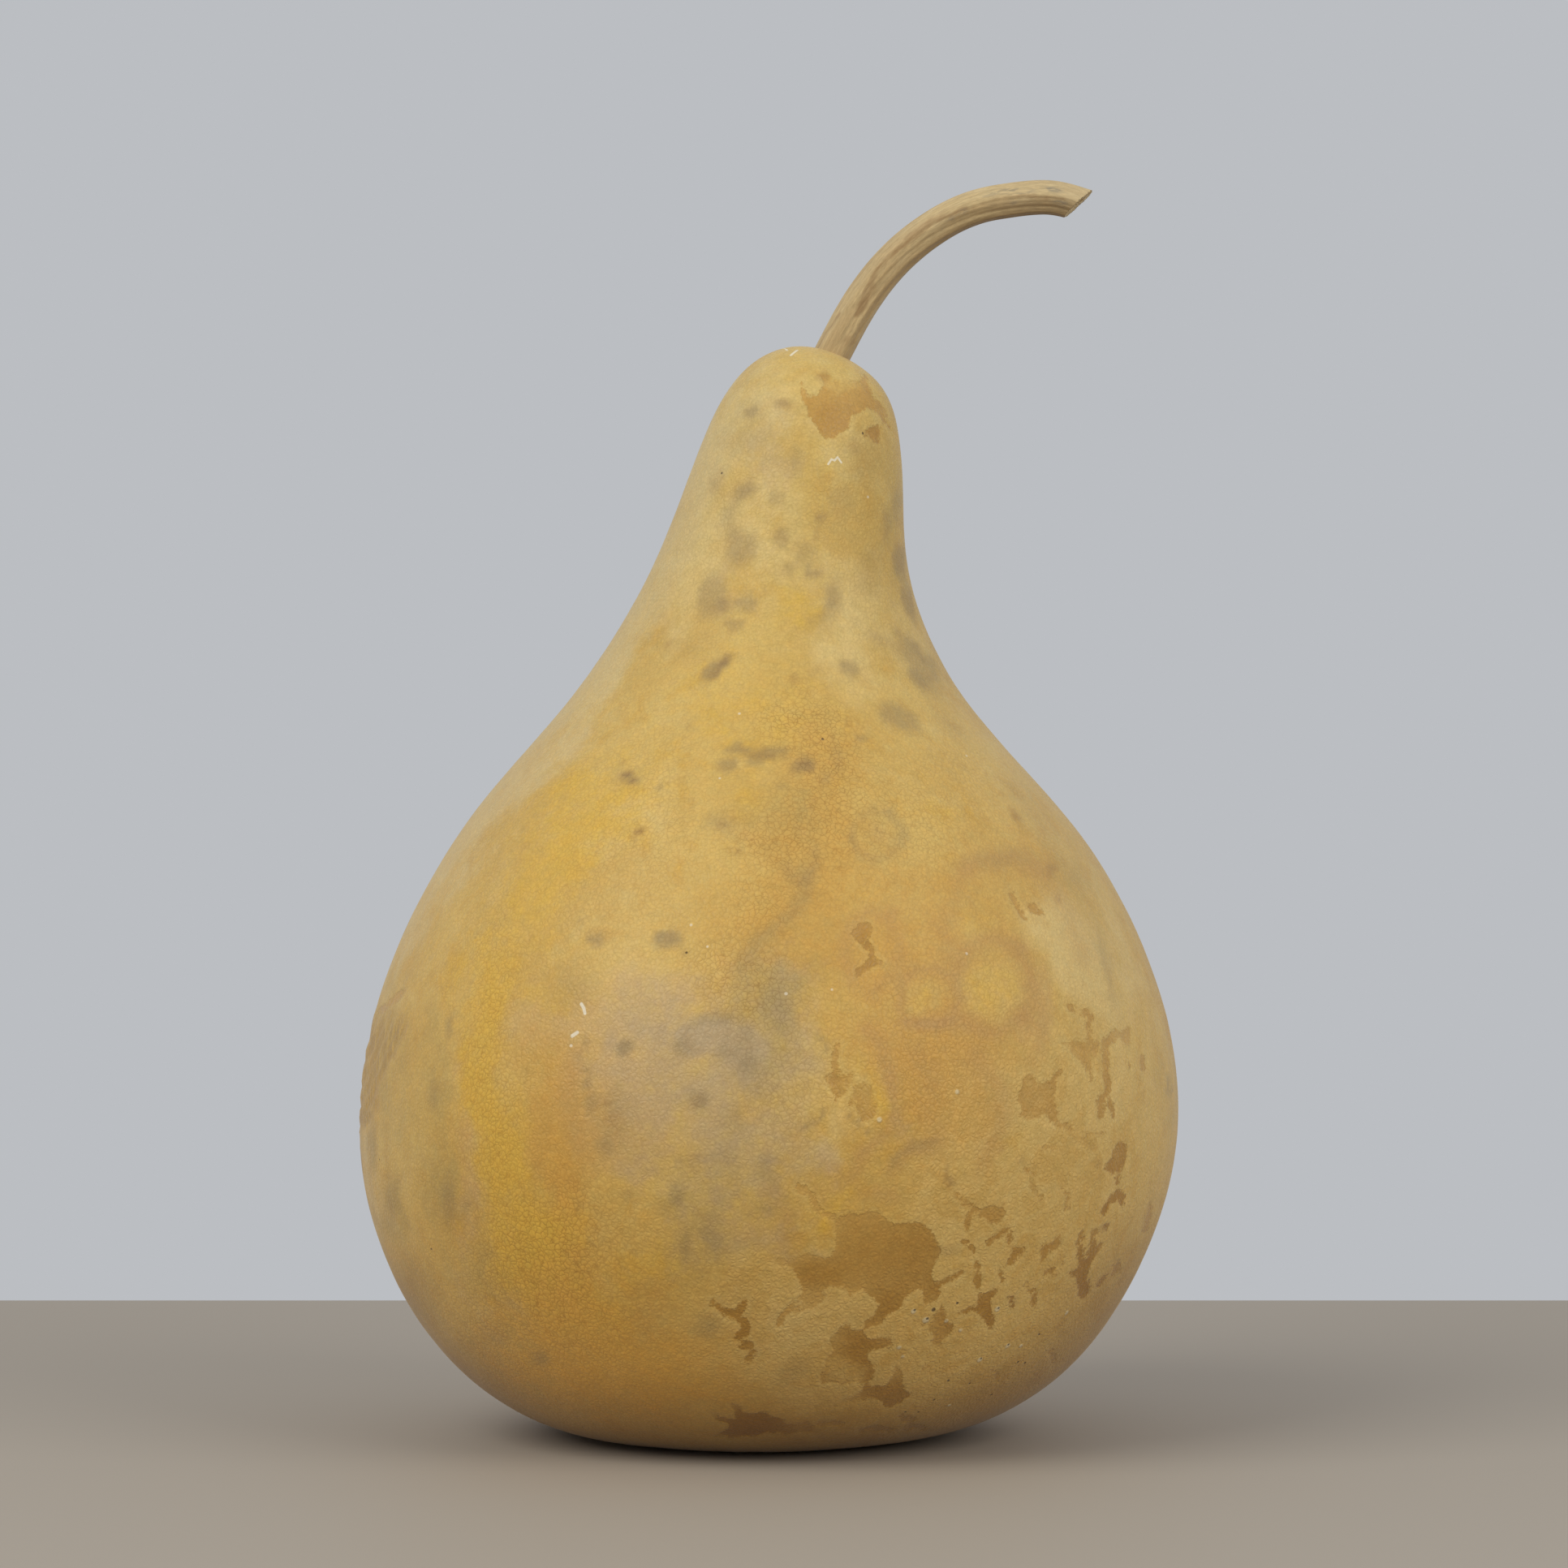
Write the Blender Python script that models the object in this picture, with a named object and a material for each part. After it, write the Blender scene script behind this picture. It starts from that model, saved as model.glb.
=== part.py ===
"""A dried bottle gourd that stands on its base: the closed, pear-shaped fruit with a leaning
neck, and the woody ribbed stalk that is rooted in its crown and bows over to a slanting cut.

Metres, +Z up. X runs to the right and Y away from someone who faces the gourd. The origin is
on the table, under the middle of the belly.
"""

import math

import bmesh
import bpy
import numpy as np
from mathutils import Vector

# Driving dimensions of the fruit.
BODY_HEIGHT = 0.2655
BELLY_RADIUS = 0.0999

# Cross-sections of the fruit from the flat spot up to the crown, which one smooth curve joins.
# Each row is the height, as a share of BODY_HEIGHT, then the radius, how far the centre lies
# to the right and how far it lies back, as shares of BELLY_RADIUS.
SECTIONS = (
    (0.000, 0.302, -0.050, 0.000),  # rim of the flat spot
    (0.004, 0.453, -0.032, 0.000),  # almost flat underside
    (0.048, 0.704, -0.015, 0.000),  # heel
    (0.107, 0.845, -0.013, 0.000),  # foot of the belly
    (0.285, 1.000, -0.001, 0.000),  # belly, the widest place
    (0.468, 0.888, 0.005, 0.000),  # top of the belly
    (0.561, 0.741, 0.000, 0.000),  # shoulder
    (0.680, 0.474, -0.003, 0.000),  # where the shoulder hollows into the neck
    (0.798, 0.312, 0.029, 0.005),  # neck
    (0.917, 0.239, 0.081, 0.020),  # top of the neck
    (0.967, 0.178, 0.091, 0.028),  # crown
    (1.000, 0.000, 0.075, 0.030),  # apex
)

# What keeps the fruit from being perfectly round.
FLATTER_BACK_TO_FRONT = 0.025
THREE_SIDED = 0.007
# Broad shallow dents: angle round the axis from the right in degrees, height, depth, spread.
DENTS = (
    (128.0, 0.052, 0.0016, 0.026),
    (62.0, 0.118, 0.0014, 0.028),
    (96.0, 0.158, 0.0009, 0.020),
)

# The scar of the flower in the middle of the underside: a ring groove round a small nub.
SCAR_RADIUS = 0.0065
SCAR_GROOVE_RADIUS = 0.0036
SCAR_GROOVE_DEPTH = 0.0014
SCAR_NUB_DEPTH = 0.0006

# The stalk: points on its path, from its root inside the crown to beyond its cut tip.
STEM_PATH = (
    (0.0131, 0.0052, 0.2592),
    (0.0205, 0.0042, 0.2729),
    (0.0283, 0.0027, 0.2839),
    (0.0402, 0.0011, 0.2941),
    (0.0501, 0.0003, 0.2989),
    (0.0600, -0.0004, 0.3009),
    (0.0698, -0.0012, 0.3012),
    (0.0800, -0.0020, 0.2984),
)
STEM_ROOT_RADIUS = 0.0045
STEM_TIP_RADIUS = 0.0041
STEM_RIBS = 5
STEM_RIB_HEIGHT = 0.045  # share of the stalk's radius
STEM_TWIST = math.radians(38)
# The slanting cut through the tip, and the hollow that the pith left in it.
CUT_POINT = Vector((0.0754, -0.0016, 0.2997))
CUT_NORMAL = Vector((0.675, -0.060, -0.736))
PITH_RIM = 0.0022
PITH_DEPTH = 0.0012

# The stalk's socket in the crown. Its cutter is the stalk's own lowest rings, grown by the gap,
# the last of them clear above the crown.
GAP = 0.0003
SOCKET_EXTRA_DEPTH = 0.0006
SOCKET_RINGS = 6

# Fineness of the meshes.
BODY_SEGMENTS = 64
BODY_RINGS = 46
RINGS_DRAWN_TO_ENDS = 0.5
STEM_SEGMENTS = 30
STEM_RINGS = 26
SHARP_EDGE = math.radians(40)

# Each piece's base colour and roughness.
FINISHES = {
    "gourd": ((0.56, 0.37, 0.12, 1.0), 0.55),
    "stem": ((0.42, 0.30, 0.15, 1.0), 0.75),
}


def clear_scene():
    for obj in list(bpy.data.objects):
        bpy.data.objects.remove(obj, do_unlink=True)


def smooth_curve(points, start_slope, end_slope):
    """A function from 0..1 to the smoothest cubic curve through the points, whose slopes at
    both ends are given. It runs at an even pace along the straight lines between them."""
    steps = np.linalg.norm(np.diff(points, axis=0), axis=1)
    knots = np.concatenate([[0.0], np.cumsum(steps)])
    count = len(points)
    rise = np.diff(points, axis=0) / steps[:, None]
    system = np.eye(count)
    right_side = np.zeros_like(points)
    right_side[0], right_side[-1] = start_slope, end_slope
    for i in range(1, count - 1):
        before, after = steps[i - 1], steps[i]
        system[i, i - 1 : i + 2] = after, 2 * (before + after), before
        right_side[i] = 3 * (rise[i - 1] * after + rise[i] * before)
    slopes = np.linalg.solve(system, right_side)

    def at(share):
        t = share * knots[-1]
        i = min(int(np.searchsorted(knots, t, side="right")) - 1, count - 2)
        h = steps[i]
        s = (t - knots[i]) / h
        return (
            points[i] * (1 + 2 * s) * (1 - s) ** 2
            + slopes[i] * h * s * (1 - s) ** 2
            + points[i + 1] * s * s * (3 - 2 * s)
            - slopes[i + 1] * h * s * s * (1 - s)
        )

    return at


def outline():
    """The curve through SECTIONS, in metres: height, radius, centre right, centre back."""
    shares = np.array([BODY_HEIGHT, BELLY_RADIUS, BELLY_RADIUS, BELLY_RADIUS])
    points = np.array(SECTIONS) * shares
    # It leaves the flat spot level and outwards, and reaches the apex level and inwards.
    return smooth_curve(points, (0, 1, 0, 0), (0, -1, 0, 0))


def roundness(angle):
    """How much a section's radius is scaled at this angle: flatter from back to front and
    faintly three-sided."""
    return 1 - FLATTER_BACK_TO_FRONT * math.sin(angle) ** 2 + THREE_SIDED * math.sin(3 * angle)


def dent_depth(angle, height, radius):
    """The sum of the dents at this place, each a bell curve over the surface."""
    total = 0.0
    for centre, level, depth, spread in DENTS:
        turn = (angle - math.radians(centre) + math.pi) % math.tau - math.pi
        distance = math.hypot(turn * radius, height - level)
        total += depth * math.exp(-((distance / spread) ** 2) / 2)
    return total


def body_ring(section):
    """One level ring of the fruit."""
    height, radius, right, back = section
    ring = []
    for i in range(BODY_SEGMENTS):
        angle = math.tau * i / BODY_SEGMENTS
        r = radius * roundness(angle) - dent_depth(angle, height, radius)
        ring.append(Vector((right + r * math.cos(angle), back + r * math.sin(angle), height)))
    return ring


def loft(name, rings):
    """A closed solid whose skin joins each ring to the next. A ring of one point is a pole,
    and an end ring of more points is closed with a flat face."""
    bm = bmesh.new()
    loops = [[bm.verts.new(point) for point in ring] for ring in rings]
    for low, high in zip(loops, loops[1:]):
        count = max(len(low), len(high))
        for i in range(count):
            j = (i + 1) % count
            if len(low) == 1:
                bm.faces.new((low[0], high[j], high[i]))
            elif len(high) == 1:
                bm.faces.new((low[i], low[j], high[0]))
            else:
                bm.faces.new((low[i], low[j], high[j], high[i]))
    if len(loops[0]) > 1:
        bm.faces.new(list(reversed(loops[0])))
    if len(loops[-1]) > 1:
        bm.faces.new(loops[-1])
    bmesh.ops.recalc_face_normals(bm, faces=bm.faces)
    mesh = bpy.data.meshes.new(name)
    bm.to_mesh(mesh)
    bm.free()
    obj = bpy.data.objects.new(name, mesh)
    bpy.context.scene.collection.objects.link(obj)
    return obj


def give_material(obj, name):
    colour, roughness = FINISHES[name]
    material = bpy.data.materials.new(name)
    material.use_nodes = True
    shader = material.node_tree.nodes["Principled BSDF"]
    shader.inputs["Base Color"].default_value = colour
    shader.inputs["Roughness"].default_value = roughness
    shader.inputs["Metallic"].default_value = 0.0
    obj.data.materials.append(material)
    obj.data.shade_smooth()
    obj.data.set_sharp_from_angle(angle=SHARP_EDGE)


def scar_rings(rim):
    """The nub's pole, the groove and the scar's edge, inside the flat spot's rim section."""
    _, _, right, back = rim
    pole = [Vector((right, back, SCAR_NUB_DEPTH))]
    groove = body_ring((SCAR_GROOVE_DEPTH, SCAR_GROOVE_RADIUS, right, back))
    edge = body_ring((0.0, SCAR_RADIUS, right, back))
    return [pole, groove, edge]


def make_body():
    at = outline()
    shares = []
    for i in range(BODY_RINGS + 1):
        even = i / BODY_RINGS
        eased = (1 - math.cos(math.pi * even)) / 2
        shares.append(even + RINGS_DRAWN_TO_ENDS * (eased - even))
    rings = scar_rings(at(0.0))
    rings += [body_ring(at(share)) for share in shares[:-1]]
    height, _, right, back = at(1.0)
    rings.append([Vector((right, back, height))])
    return loft("gourd", rings)


def stem_path():
    """Evenly spaced points along the smooth curve through STEM_PATH."""
    points = np.array(STEM_PATH)
    first, last = points[1] - points[0], points[-1] - points[-2]
    at = smooth_curve(points, first / np.linalg.norm(first), last / np.linalg.norm(last))
    return [Vector(at(i / STEM_RINGS)) for i in range(STEM_RINGS + 1)]


def stem_rings(path, grow=0.0):
    """Rings of the ribbed section along a path, each square to it. The ribs turn slowly from
    the root to the tip. grow widens every ring."""
    rings = []
    for i, point in enumerate(path):
        share = i / (len(path) - 1)
        before, after = path[max(i - 1, 0)], path[min(i + 1, len(path) - 1)]
        forward = (after - before).normalized()
        level = Vector((0, 1, 0))
        side = (level - level.dot(forward) * forward).normalized()
        up = side.cross(forward)
        radius = STEM_ROOT_RADIUS + (STEM_TIP_RADIUS - STEM_ROOT_RADIUS) * share
        ring = []
        for j in range(STEM_SEGMENTS):
            angle = math.tau * j / STEM_SEGMENTS
            rib = STEM_RIB_HEIGHT * math.cos(STEM_RIBS * (angle - STEM_TWIST * share))
            r = radius * (1 + rib) + grow
            ring.append(point + r * (math.cos(angle) * side + math.sin(angle) * up))
        rings.append(ring)
    return rings


def cut_tip(obj):
    """Cuts the stalk's tip off on the slant, closes it, and sinks the pith's hollow in it."""
    bm = bmesh.new()
    bm.from_mesh(obj.data)
    parts = bm.verts[:] + bm.edges[:] + bm.faces[:]
    cut = bmesh.ops.bisect_plane(
        bm, geom=parts, plane_co=CUT_POINT, plane_no=CUT_NORMAL, clear_outer=True
    )
    rim = [part for part in cut["geom_cut"] if isinstance(part, bmesh.types.BMEdge)]
    closed = bmesh.ops.contextual_create(bm, geom=rim)
    face = closed["faces"][0]
    bmesh.ops.inset_individual(bm, faces=[face], thickness=PITH_RIM)
    floor = bmesh.ops.extrude_discrete_faces(bm, faces=[face])["faces"][0]
    inwards = -CUT_NORMAL.normalized() * PITH_DEPTH
    bmesh.ops.translate(bm, verts=floor.verts, vec=inwards)
    bmesh.ops.recalc_face_normals(bm, faces=bm.faces)
    bm.to_mesh(obj.data)
    bm.free()


def make_stem():
    stem = loft("stem", stem_rings(stem_path()))
    cut_tip(stem)
    return stem


def make_socket_cutter():
    """The root's shape with the gap round it, which hollows its seat in the crown."""
    path = stem_path()
    inwards = (path[0] - path[1]).normalized()
    rings = stem_rings(path, GAP)[:SOCKET_RINGS]
    bottom = [point + inwards * SOCKET_EXTRA_DEPTH for point in rings[0]]
    cutter = loft("socket_cutter", [bottom] + rings)
    cutter.hide_render = True
    cutter.display_type = "WIRE"
    return cutter


def main():
    clear_scene()
    body = make_body()
    socket = body.modifiers.new("stem socket", "BOOLEAN")
    socket.operation = "DIFFERENCE"
    socket.object = make_socket_cutter()
    give_material(body, "gourd")
    stem = make_stem()
    give_material(stem, "stem")


main()
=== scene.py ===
import bpy
import numpy as np
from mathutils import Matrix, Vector


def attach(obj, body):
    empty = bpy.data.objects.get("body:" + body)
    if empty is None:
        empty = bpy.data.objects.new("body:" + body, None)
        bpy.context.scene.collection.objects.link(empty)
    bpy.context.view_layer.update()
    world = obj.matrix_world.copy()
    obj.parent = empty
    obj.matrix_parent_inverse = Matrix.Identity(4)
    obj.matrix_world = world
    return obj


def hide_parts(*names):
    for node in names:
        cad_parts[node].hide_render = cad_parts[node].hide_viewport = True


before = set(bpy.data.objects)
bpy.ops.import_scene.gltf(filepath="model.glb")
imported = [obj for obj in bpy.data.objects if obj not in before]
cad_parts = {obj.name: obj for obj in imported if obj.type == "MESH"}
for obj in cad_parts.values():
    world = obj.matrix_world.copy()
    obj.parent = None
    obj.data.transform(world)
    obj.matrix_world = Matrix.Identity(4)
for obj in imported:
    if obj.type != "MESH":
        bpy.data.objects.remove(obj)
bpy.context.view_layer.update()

# --- The camera ------------------------------------------------------------------------------
# It stands 1.25 m in front of the gourd, level, at a little over half its height, with a lens
# of 117 mm. A place in the picture is told by the millimetres right of the gourd's axis and
# above the table at which it appears on an upright sheet through that axis.

EYE = np.array([0.0037, -1.250, 0.1584])
PICTURE_WIDTH = 1932
FOCAL_PIXELS = 6307

photographer = bpy.data.cameras.new("photographer")
photographer.sensor_width = 36.0
photographer.lens = 36.0 * FOCAL_PIXELS / PICTURE_WIDTH
photographer.clip_end = 20.0
camera = bpy.data.objects.new("camera", photographer)
camera.location = Vector(EYE)
camera.rotation_euler = (np.pi / 2, 0, 0)
bpy.context.scene.collection.objects.link(camera)
bpy.context.scene.camera = camera


def seen_at(points):
    """Where points in space appear on the upright sheet: each point is drawn along its line to
    the eye until it lies on the sheet, and its right and up are given in millimetres."""
    shrink = -EYE[1] / (points[..., 1] - EYE[1])
    right = EYE[0] + (points[..., 0] - EYE[0]) * shrink
    up = EYE[2] + (points[..., 2] - EYE[2]) * shrink
    return right * 1000, up * 1000


# --- The fruit -------------------------------------------------------------------------------
# A ripe bottle gourd, dried whole: one closed, hard, leathery rind that grew as one piece, pear
# shaped with a leaning neck. It stands on the flat spot round the scar of its flower. Its thin
# outer skin has crazed, gone mouldy in spots and scaled off in ragged brown patches low down.

FRUIT_HEIGHT = 0.2655
BELLY_RADIUS = 0.0999
SECTIONS = np.array((
    # Height as a share of the fruit's, then the radius, and how far the centre lies to the right
    # and to the back, as shares of the belly's radius.
    (0.000, 0.302, -0.050, 0.000),
    (0.004, 0.453, -0.032, 0.000),
    (0.048, 0.704, -0.015, 0.000),
    (0.107, 0.845, -0.013, 0.000),
    (0.285, 1.000, -0.001, 0.000),
    (0.468, 0.888, 0.005, 0.000),
    (0.561, 0.741, 0.000, 0.000),
    (0.680, 0.474, -0.003, 0.000),
    (0.798, 0.312, 0.029, 0.005),
    (0.917, 0.239, 0.081, 0.020),
    (0.967, 0.178, 0.091, 0.028),
    (1.000, 0.000, 0.075, 0.030),
)) * (FRUIT_HEIGHT, BELLY_RADIUS, BELLY_RADIUS, BELLY_RADIUS)
FLATTER_BACK_TO_FRONT = 0.025
THREE_SIDED = 0.007
# Broad shallow dents: angle round the axis from the right in degrees, height, depth, spread.
DENTS = ((128, 0.052, 0.0016, 0.026), (62, 0.118, 0.0014, 0.028), (96, 0.158, 0.0009, 0.020))
# The underside, from the middle out: radius and height over the table in millimetres.
SCAR = (
    (0.0, 0.6), (1.2, 0.75), (2.4, 1.25), (3.6, 1.4), (4.6, 1.1), (5.6, 0.4), (6.5, 0.0),
    (9, 0), (13, 0), (18, 0), (24, 0),
)
COLUMNS = 392
ROWS = 241
# How far apart rows lie in millimetres, at shares of the way from the flat spot to the apex.
ROW_GAPS = ((0.0, 1.3), (0.42, 1.3), (0.58, 2.0), (0.84, 1.9), (0.92, 1.2), (1.0, 0.9))


def smooth_curve(points, start_slope, end_slope):
    """The smoothest cubic curve through the points with given slopes at both ends, as a function
    of the share of the way along the straight lines between them. The slopes at the points solve
    slope_before * gap_after + 2 * slope * both_gaps + slope_after * gap_before = 3 * weighted rise."""
    gaps = np.linalg.norm(np.diff(points, axis=0), axis=1)
    knots = np.concatenate([[0.0], np.cumsum(gaps)])
    rise = np.diff(points, axis=0) / gaps[:, None]
    system = np.eye(len(points))
    wanted = np.zeros_like(points)
    wanted[0], wanted[-1] = start_slope, end_slope
    for i in range(1, len(points) - 1):
        system[i, i - 1 : i + 2] = gaps[i], 2 * (gaps[i - 1] + gaps[i]), gaps[i - 1]
        wanted[i] = 3 * (rise[i - 1] * gaps[i] + rise[i] * gaps[i - 1])
    slopes = np.linalg.solve(system, wanted)

    def at(share):
        t = np.asarray(share) * knots[-1]
        i = np.clip(np.searchsorted(knots, t, side="right") - 1, 0, len(points) - 2)
        h = gaps[i][..., None]
        s = ((t - knots[i]) / gaps[i])[..., None]
        return (
            points[i] * (1 + 2 * s) * (1 - s) ** 2
            + slopes[i] * h * s * (1 - s) ** 2
            + points[i + 1] * s * s * (3 - 2 * s)
            - slopes[i + 1] * h * s * s * (1 - s)
        )

    return at


def waves(points, length, seed, count=9):
    """Soft random swells between about -1 and 1: the mean of cosines that run in random
    directions with wavelengths near the given one, in metres."""
    dice = np.random.default_rng(seed)
    ways = dice.normal(size=(count, 3))
    ways /= np.linalg.norm(ways, axis=1)[:, None]
    ways *= 2 * np.pi / (length * dice.uniform(0.7, 1.4, count))[:, None]
    starts = dice.uniform(0, 2 * np.pi, count)
    return np.cos(points @ ways.T + starts).mean(axis=-1) * 1.8


def fruit_surface():
    """The bare form, rows by columns: each row is a level ring of radius section radius times
    (1 - 0.025 sin^2 + 0.007 sin 3 angle) less the dents, and columns crowd towards the camera.
    Also gives each row's radius and its length along the profile, and each column's angle."""
    turn = np.arange(COLUMNS) / COLUMNS
    angle = -np.pi / 2 + 2 * np.pi * turn - 0.35 * np.sin(2 * np.pi * turn)
    share = np.linspace(0, 1, 2001)
    crowd = np.cumsum(1 / np.interp(share, *np.array(ROW_GAPS).T))
    shares = np.interp(np.linspace(crowd[0], crowd[-1], ROWS + 1), crowd, share)[:-1]
    rows = smooth_curve(SECTIONS, (0, 1, 0, 0), (0, -1, 0, 0))(shares)
    scar = np.array(SCAR[1:]) / 1000
    rim = rows[0]
    under = np.stack([scar[:, 1], scar[:, 0], 0 * scar[:, 0] + rim[2], 0 * scar[:, 0] + rim[3]], 1)
    rows = np.concatenate([under, rows])
    height, radius, right, back = (rows[:, k][:, None] for k in range(4))
    out = radius * (1 - FLATTER_BACK_TO_FRONT * np.sin(angle) ** 2 + THREE_SIDED * np.sin(3 * angle))
    for centre, level, depth, spread in DENTS:
        off = (angle - np.radians(centre) + np.pi) % (2 * np.pi) - np.pi
        near = np.hypot(off[None, :] * radius, height - level)
        out = out - depth * np.exp(-((near / spread) ** 2) / 2)
    points = np.stack([right + out * np.cos(angle), back + out * np.sin(angle), height + 0 * out], -1)
    steps = np.hypot(np.diff(rows[:, 0]), np.diff(rows[:, 1]))
    length = np.concatenate([[0], np.cumsum(steps)]) + scar[0, 0]
    return points, radius[:, 0] * 1000, length * 1000, angle


def outward(points):
    """Unit normals of a grid of rows round a closed form: east along the columns times up along
    the rows."""
    east = np.roll(points, -1, 1) - np.roll(points, 1, 1)
    up = np.gradient(points, axis=0)
    normal = np.cross(east, up)
    return normal / np.maximum(np.linalg.norm(normal, axis=-1), 1e-12)[..., None]


def closed_skin(name, points, first, last):
    """A mesh of a grid of rows round a closed form, with each end row joined to one point."""
    rows, columns = points.shape[:2]
    verts = np.concatenate([[first], points.reshape(-1, 3), [last]])
    here = 1 + np.arange(rows * columns).reshape(rows, columns)
    beside = np.roll(here, -1, 1)
    quads = np.stack([here[:-1], beside[:-1], beside[1:], here[1:]], -1).reshape(-1, 4)
    bottom = np.stack([0 * here[0], beside[0], here[0]], -1)
    top = np.stack([here[-1], beside[-1], 0 * here[-1] + len(verts) - 1], -1)
    mesh = bpy.data.meshes.new(name)
    mesh.from_pydata(verts.tolist(), [], bottom.tolist() + quads.tolist() + top.tolist())
    mesh.shade_smooth()
    piece = bpy.data.objects.new(name, mesh)
    bpy.context.scene.collection.objects.link(piece)
    return piece


def keep_layer(piece, name, values):
    """Stores one number for each vertex, rows by columns. An end point takes its row's mean."""
    layer = piece.data.attributes.new(name, "FLOAT", "POINT")
    ends = values[0].mean(), values[-1].mean()
    layer.data.foreach_set("value", np.concatenate([[ends[0]], values.ravel(), [ends[1]]]))


def spot(u, v, right, up, half_width, half_height, lean, edge):
    """1 inside an ellipse that leans by so many degrees, easing to 0 over a share of its size on
    both sides of its outline."""
    c, s = np.cos(np.radians(lean)), np.sin(np.radians(lean))
    across = ((u - right) * c + (v - up) * s) / half_width
    along = ((v - up) * c - (u - right) * s) / half_height
    t = np.clip((1 + edge - np.hypot(across, along)) / (2 * edge), 0, 1)
    return t * t * (3 - 2 * t)


def line_distance(u, v, points):
    """Distance to the nearest of the straight lines that join the points."""
    best = np.full(u.shape, 99.0)
    for (ax, ay), (bx, by) in zip(points, points[1:]):
        dx, dy = bx - ax, by - ay
        t = np.clip(((u - ax) * dx + (v - ay) * dy) / (dx * dx + dy * dy), 0, 1)
        best = np.minimum(best, np.hypot(u - ax - t * dx, v - ay - t * dy))
    return best


def patch_distance(u, v, corners):
    """Distance to the outline of a patch, less than 0 inside it: a place is inside if a line
    from it to the right crosses the outline an odd number of times."""
    ring = corners + corners[:1]
    inside = np.zeros(u.shape, bool)
    for (ax, ay), (bx, by) in zip(ring, ring[1:]):
        if ay != by:
            crossing = ax + (v - ay) * (bx - ax) / (by - ay)
            inside ^= ((ay > v) != (by > v)) & (u < crossing)
    return np.where(inside, -1, 1) * line_distance(u, v, ring)


USUAL_LEAN_AND_EDGE = 0, 0.9


def add_spots(layer, u, v, shown, marks):
    """Lays soft spots over a layer: each covers what is under it by its strength, and one with a
    strength below 0 wipes the layer out by that much."""
    for right, up, half_width, half_height, strength, *rest in marks:
        lean, edge = *rest, *USUAL_LEAN_AND_EDGE[len(rest) :]
        cover = spot(u, v, right, up, half_width, half_height, lean, edge) * shown * strength
        layer[:] = np.where(cover >= 0, 1 - (1 - layer) * (1 - cover), layer * (1 + cover))


def add_strokes(layer, u, v, shown, strokes):
    """Lays soft lines over a layer: strength times exp(-(distance / half width)^2)."""
    for half_width, strength, points in strokes:
        cover = strength * shown * np.exp(-((line_distance(u, v, points) / half_width) ** 2))
        layer[:] = 1 - (1 - layer) * (1 - cover)


form, row_radius, row_length, column_angle = fruit_surface()
normals = outward(form)
right, up = seen_at(form)
to_eye = EYE - form
to_eye /= np.linalg.norm(to_eye, axis=-1)[..., None]
facing = (normals * to_eye).sum(-1)
shown = np.clip((facing + 0.02) / 0.10, 0, 1)
LAYERS = "golden straw rose olive ginger amber violet bloom shade rusty mould umber crust crazed bare faded"
layers = {name: np.zeros(right.shape) for name in LAYERS.split()}

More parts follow.
